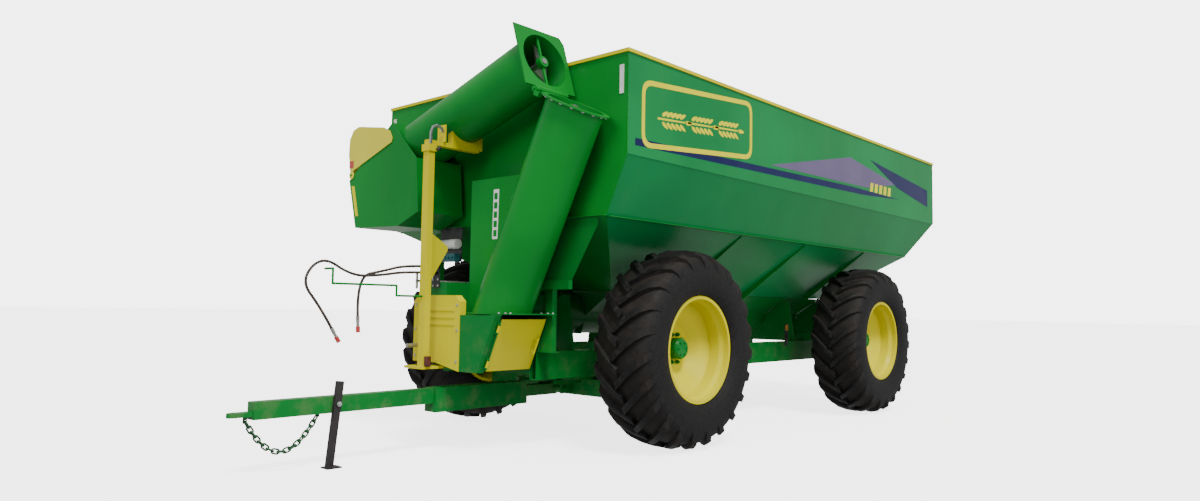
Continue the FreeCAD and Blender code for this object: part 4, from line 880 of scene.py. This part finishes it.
bolts("bulkhead_bolts", "chassis", [((x, TUBE_Y - 0.224, z), (0, -1, 0)) for x in (-0.112, -0.048)
                                    for z in (1.395, 1.450)], 0.007)
for wheel_name, side, y in WHEELS:
    face = Vector((side * (WHEEL_X + 0.060), y, HUB_Z))
    spots = circle_spots(face, Vector((side, 0, 0)), Vector((0, 0, 1)), 0.058, 6)
    bolts("cap_bolts_" + wheel_name, "wheel_" + wheel_name, spots, 0.008, 0.008, GREEN_LOW)

# ---------------------------------------------------------------- weld beads where the sheets meet
PROUD = 0.0005
FRONT_FACE, REAR_FACE = HOP_F - PROUD, HOP_R + PROUD
for side, tag in SIDES:
    out = side * PANEL_X
    shoulder = side * (PANEL_X + PROUD)
    weld("shoulder_weld_" + tag, "chassis",
         [(shoulder, HOP_F + 0.01, SHOULDER_Z), (shoulder, HOP_R - 0.01, SHOULDER_Z)],
         0.0032, GREEN_SIDE)
    weld("corner_weld_" + tag, "chassis",
         [(side * KNEE_X, FRONT_FACE, KNEE_Z), (out, FRONT_FACE, SHOULDER_Z),
          (out, FRONT_FACE, WALL_TOP)], 0.0035)
    weld("rear_weld_" + tag, "chassis",
         [(out, REAR_FACE, SHOULDER_Z), (out, REAR_FACE, WALL_TOP)], 0.0035)
weld("boot_weld", "chassis",
     [(0.066, FRONT_OF_TUBE - PROUD, 1.164), (0.560, FRONT_OF_TUBE - PROUD, 1.164)], 0.004)


# ---------------------------------------------------------------- reflectors, lamps and signs
def lens_block(name, corner, size, finish, faces):
    """Moulded lens: a block with a slightly sunk front and rounded edges.

    faces is the axis that its front looks along, 1 to 3 for X to Z, negative for the other way.
    """
    clear()
    centre = [corner[k] + size[k] / 2 for k in range(3)]
    bpy.ops.mesh.primitive_cube_add(size=1, location=centre, scale=size)
    block = bpy.context.object
    bpy.ops.object.transform_apply(location=True, rotation=False, scale=True)
    bpy.ops.object.mode_set(mode="EDIT")
    bpy.ops.mesh.select_all(action="DESELECT")
    bpy.ops.object.mode_set(mode="OBJECT")
    for polygon in block.data.polygons:
        polygon.select = polygon.normal[abs(faces) - 1] * faces > 0.9 * abs(faces)
    bpy.ops.object.mode_set(mode="EDIT")
    bpy.ops.mesh.inset(thickness=0.005, depth=-0.0012)
    bpy.ops.object.mode_set(mode="OBJECT")
    bevelled(block, 0.0015, 2)
    return settle(block, name, "chassis", finish)


LAMP_Y = REAR_BAR + 0.090
LAMP_Z = 0.688
BRACKET = ((2.118, 0.790), (2.192, 0.790), (2.192, 1.052), (2.118, 1.052))
for side, tag in SIDES:
    lens_block("side_reflector_" + tag, (side * 0.650 - 0.004, 2.125, 0.972),
               (0.008, 0.062, 0.072), AMBER_LENS, side)
    bracket = pulled(outline([(side * 0.641, y, z) for y, z in BRACKET]), (side * 0.005, 0, 0))
    settle(bevelled(bracket, 0.001, 2), "reflector_bracket_" + tag, "chassis", BLACK)
    lens_block("corner_reflector_" + tag, (side * 1.565 - 0.022, HOP_F - 0.005, 2.935),
               (0.044, 0.005, 0.235), CLEAR_LENS, -2)
    low_x = 0.914 if side > 0 else -0.984
    lens_block("tail_lens_" + tag, (low_x, LAMP_Y, LAMP_Z), (0.070, 0.007, 0.064), RED_LENS, 2)
    low_x = 0.856 if side > 0 else -0.910
    lens_block("turn_lens_" + tag, (low_x, LAMP_Y, LAMP_Z), (0.054, 0.007, 0.064), AMBER_LENS, 2)
    low_x = 1.500 if side > 0 else -1.560
    lens_block("rear_reflector_" + tag, (low_x, HOP_R, 2.600), (0.060, 0.006, 0.180), RED_LENS, 2)


def triangle(half, low, high, cut, y):
    """Corner points of a triangle with its tips cut off, upright in a plane of constant y."""
    slope = half / (high - low)
    shoulder = low + cut * 0.9
    tip = slope * cut + 0.002
    return [(-half + cut, y, low), (half - cut, y, low), (half - cut / 2, y, shoulder),
            (tip, y, high - cut), (-tip, y, high - cut), (-half + cut / 2, y, shoulder)]


panel("slow_sign_edge", "chassis", triangle(0.205, 0.800, 1.160, 0.040, REAR_BAR + 0.030),
      (0, 0.003, 0), RED_FILM, 0.001)
panel("slow_sign_field", "chassis", triangle(0.150, 0.832, 1.098, 0.018, REAR_BAR + 0.0332),
      (0, 0.0010, 0), ORANGE)
BRACKET_Y = REAR_BAR + 0.024
panel("sign_bracket", "chassis",
      [(-0.022, BRACKET_Y, 0.745), (0.022, BRACKET_Y, 0.745), (0.022, BRACKET_Y, 1.000),
       (-0.022, BRACKET_Y, 1.000)], (0, 0.0055, 0), BLACK, 0.001)

# A label with plain bars on the web beside the tube, and a bright strip on the head's edge.
LABEL_Y = TUBE_Y + 0.030
LABEL = [(x, LABEL_Y, z) for x, z in ((0.358, 1.800), (0.428, 1.800), (0.436, 2.230), (0.366, 2.230))]
panel("web_label", "chassis", rounded(LABEL, 0.012), (0, -0.0006, 0), PAPER)
BAR_Y = LABEL_Y - 0.0006
bars = []
for k in range(5):
    x, z = 0.372 + 0.0007 * k, 1.822 + 0.080 * k
    right, top = x + 0.044, z + 0.056
    corners = [(x, BAR_Y, z), (right, BAR_Y, z), (right, BAR_Y, top), (x, BAR_Y, top)]
    bars.append(pulled(outline(corners), (0, -0.0004, 0)))
settle(joined(bars), "web_label_bars", "chassis", GREEN)
HEAD_Y = TUBE_Y - 0.251
panel("head_strip", "folding_tube",
      [(-1.443, HEAD_Y, 2.380), (-1.395, HEAD_Y, 2.380), (-1.310, HEAD_Y, 2.080),
       (-1.358, HEAD_Y, 2.080)], (0, -0.0008, 0), GOLD)


# ---------------------------------------------------------------- small iron on the post, leg and guard
HOOK = [
    (-2.864, 2.600), (-2.864, 2.700), (-2.842, 2.758), (-2.792, 2.782), (-2.738, 2.762), (-2.722, 2.720),
    (-2.738, 2.716), (-2.756, 2.744), (-2.792, 2.758), (-2.828, 2.738), (-2.844, 2.695), (-2.844, 2.600)]
hook = pulled(outline([(0.034, y, z) for y, z in HOOK]), (0.016, 0, 0))
settle(bevelled(hook, 0.0025, 2), "post_hook", "chassis", ZINC)


def turned_piece(profile, steps=32):
    """Closed profile of (radius, height) points spun about Z."""
    piece = outline([(r, 0, h) for r, h in profile])
    only(piece)
    bpy.ops.object.mode_set(mode="EDIT")
    bpy.ops.mesh.select_all(action="SELECT")
    bpy.ops.mesh.delete(type="ONLY_FACE")
    bpy.ops.mesh.select_all(action="SELECT")
    bpy.ops.mesh.spin(steps=steps, angle=math.tau, center=(0, 0, 0), axis=(0, 0, 1))
    bpy.ops.mesh.select_all(action="SELECT")
    bpy.ops.mesh.remove_doubles(threshold=1e-5)
    bpy.ops.object.mode_set(mode="OBJECT")
    return piece


KNOB = [(0.0005, 0.0), (0.008, 0.0), (0.008, 0.020), (0.017, 0.024), (0.021, 0.036), (0.017, 0.050),
        (0.008, 0.056), (0.0005, 0.057)]
knob = turned_piece(KNOB)
knob.data.transform(aimed((0.052, -2.800, 2.560), (1, 0, 0)))
settle(knob, "post_knob", "chassis", BLACK)

clear()
bpy.ops.mesh.primitive_cube_add(size=1, location=(0.060, -2.835, 0.755), scale=(0.036, 0.050, 0.086))
latch = bpy.context.object
bpy.ops.object.transform_apply(location=True, rotation=False, scale=True)
settle(bevelled(latch, 0.006, 3), "guard_latch", "chassis", LATCH_RED)
bolts("leg_nut", "drawbar", [((0.104, AXLE_F - 2.565, 0.470), (1, 0, 0))], 0.013, 0.012)


# ---------------------------------------------------------------- floor, camera and lights
def floor():
    """Pale floor that takes the cart's shadow but throws no light back on it."""
    clear()
    bpy.ops.mesh.primitive_plane_add(size=240, location=(0, 0, 0))
    ground = bpy.context.object
    ground.name = "floor"
    ground.data.materials.append(floor_finish("floor_finish"))
    ground.visible_diffuse = False
    ground.visible_glossy = False


camera()
lights()
floor()
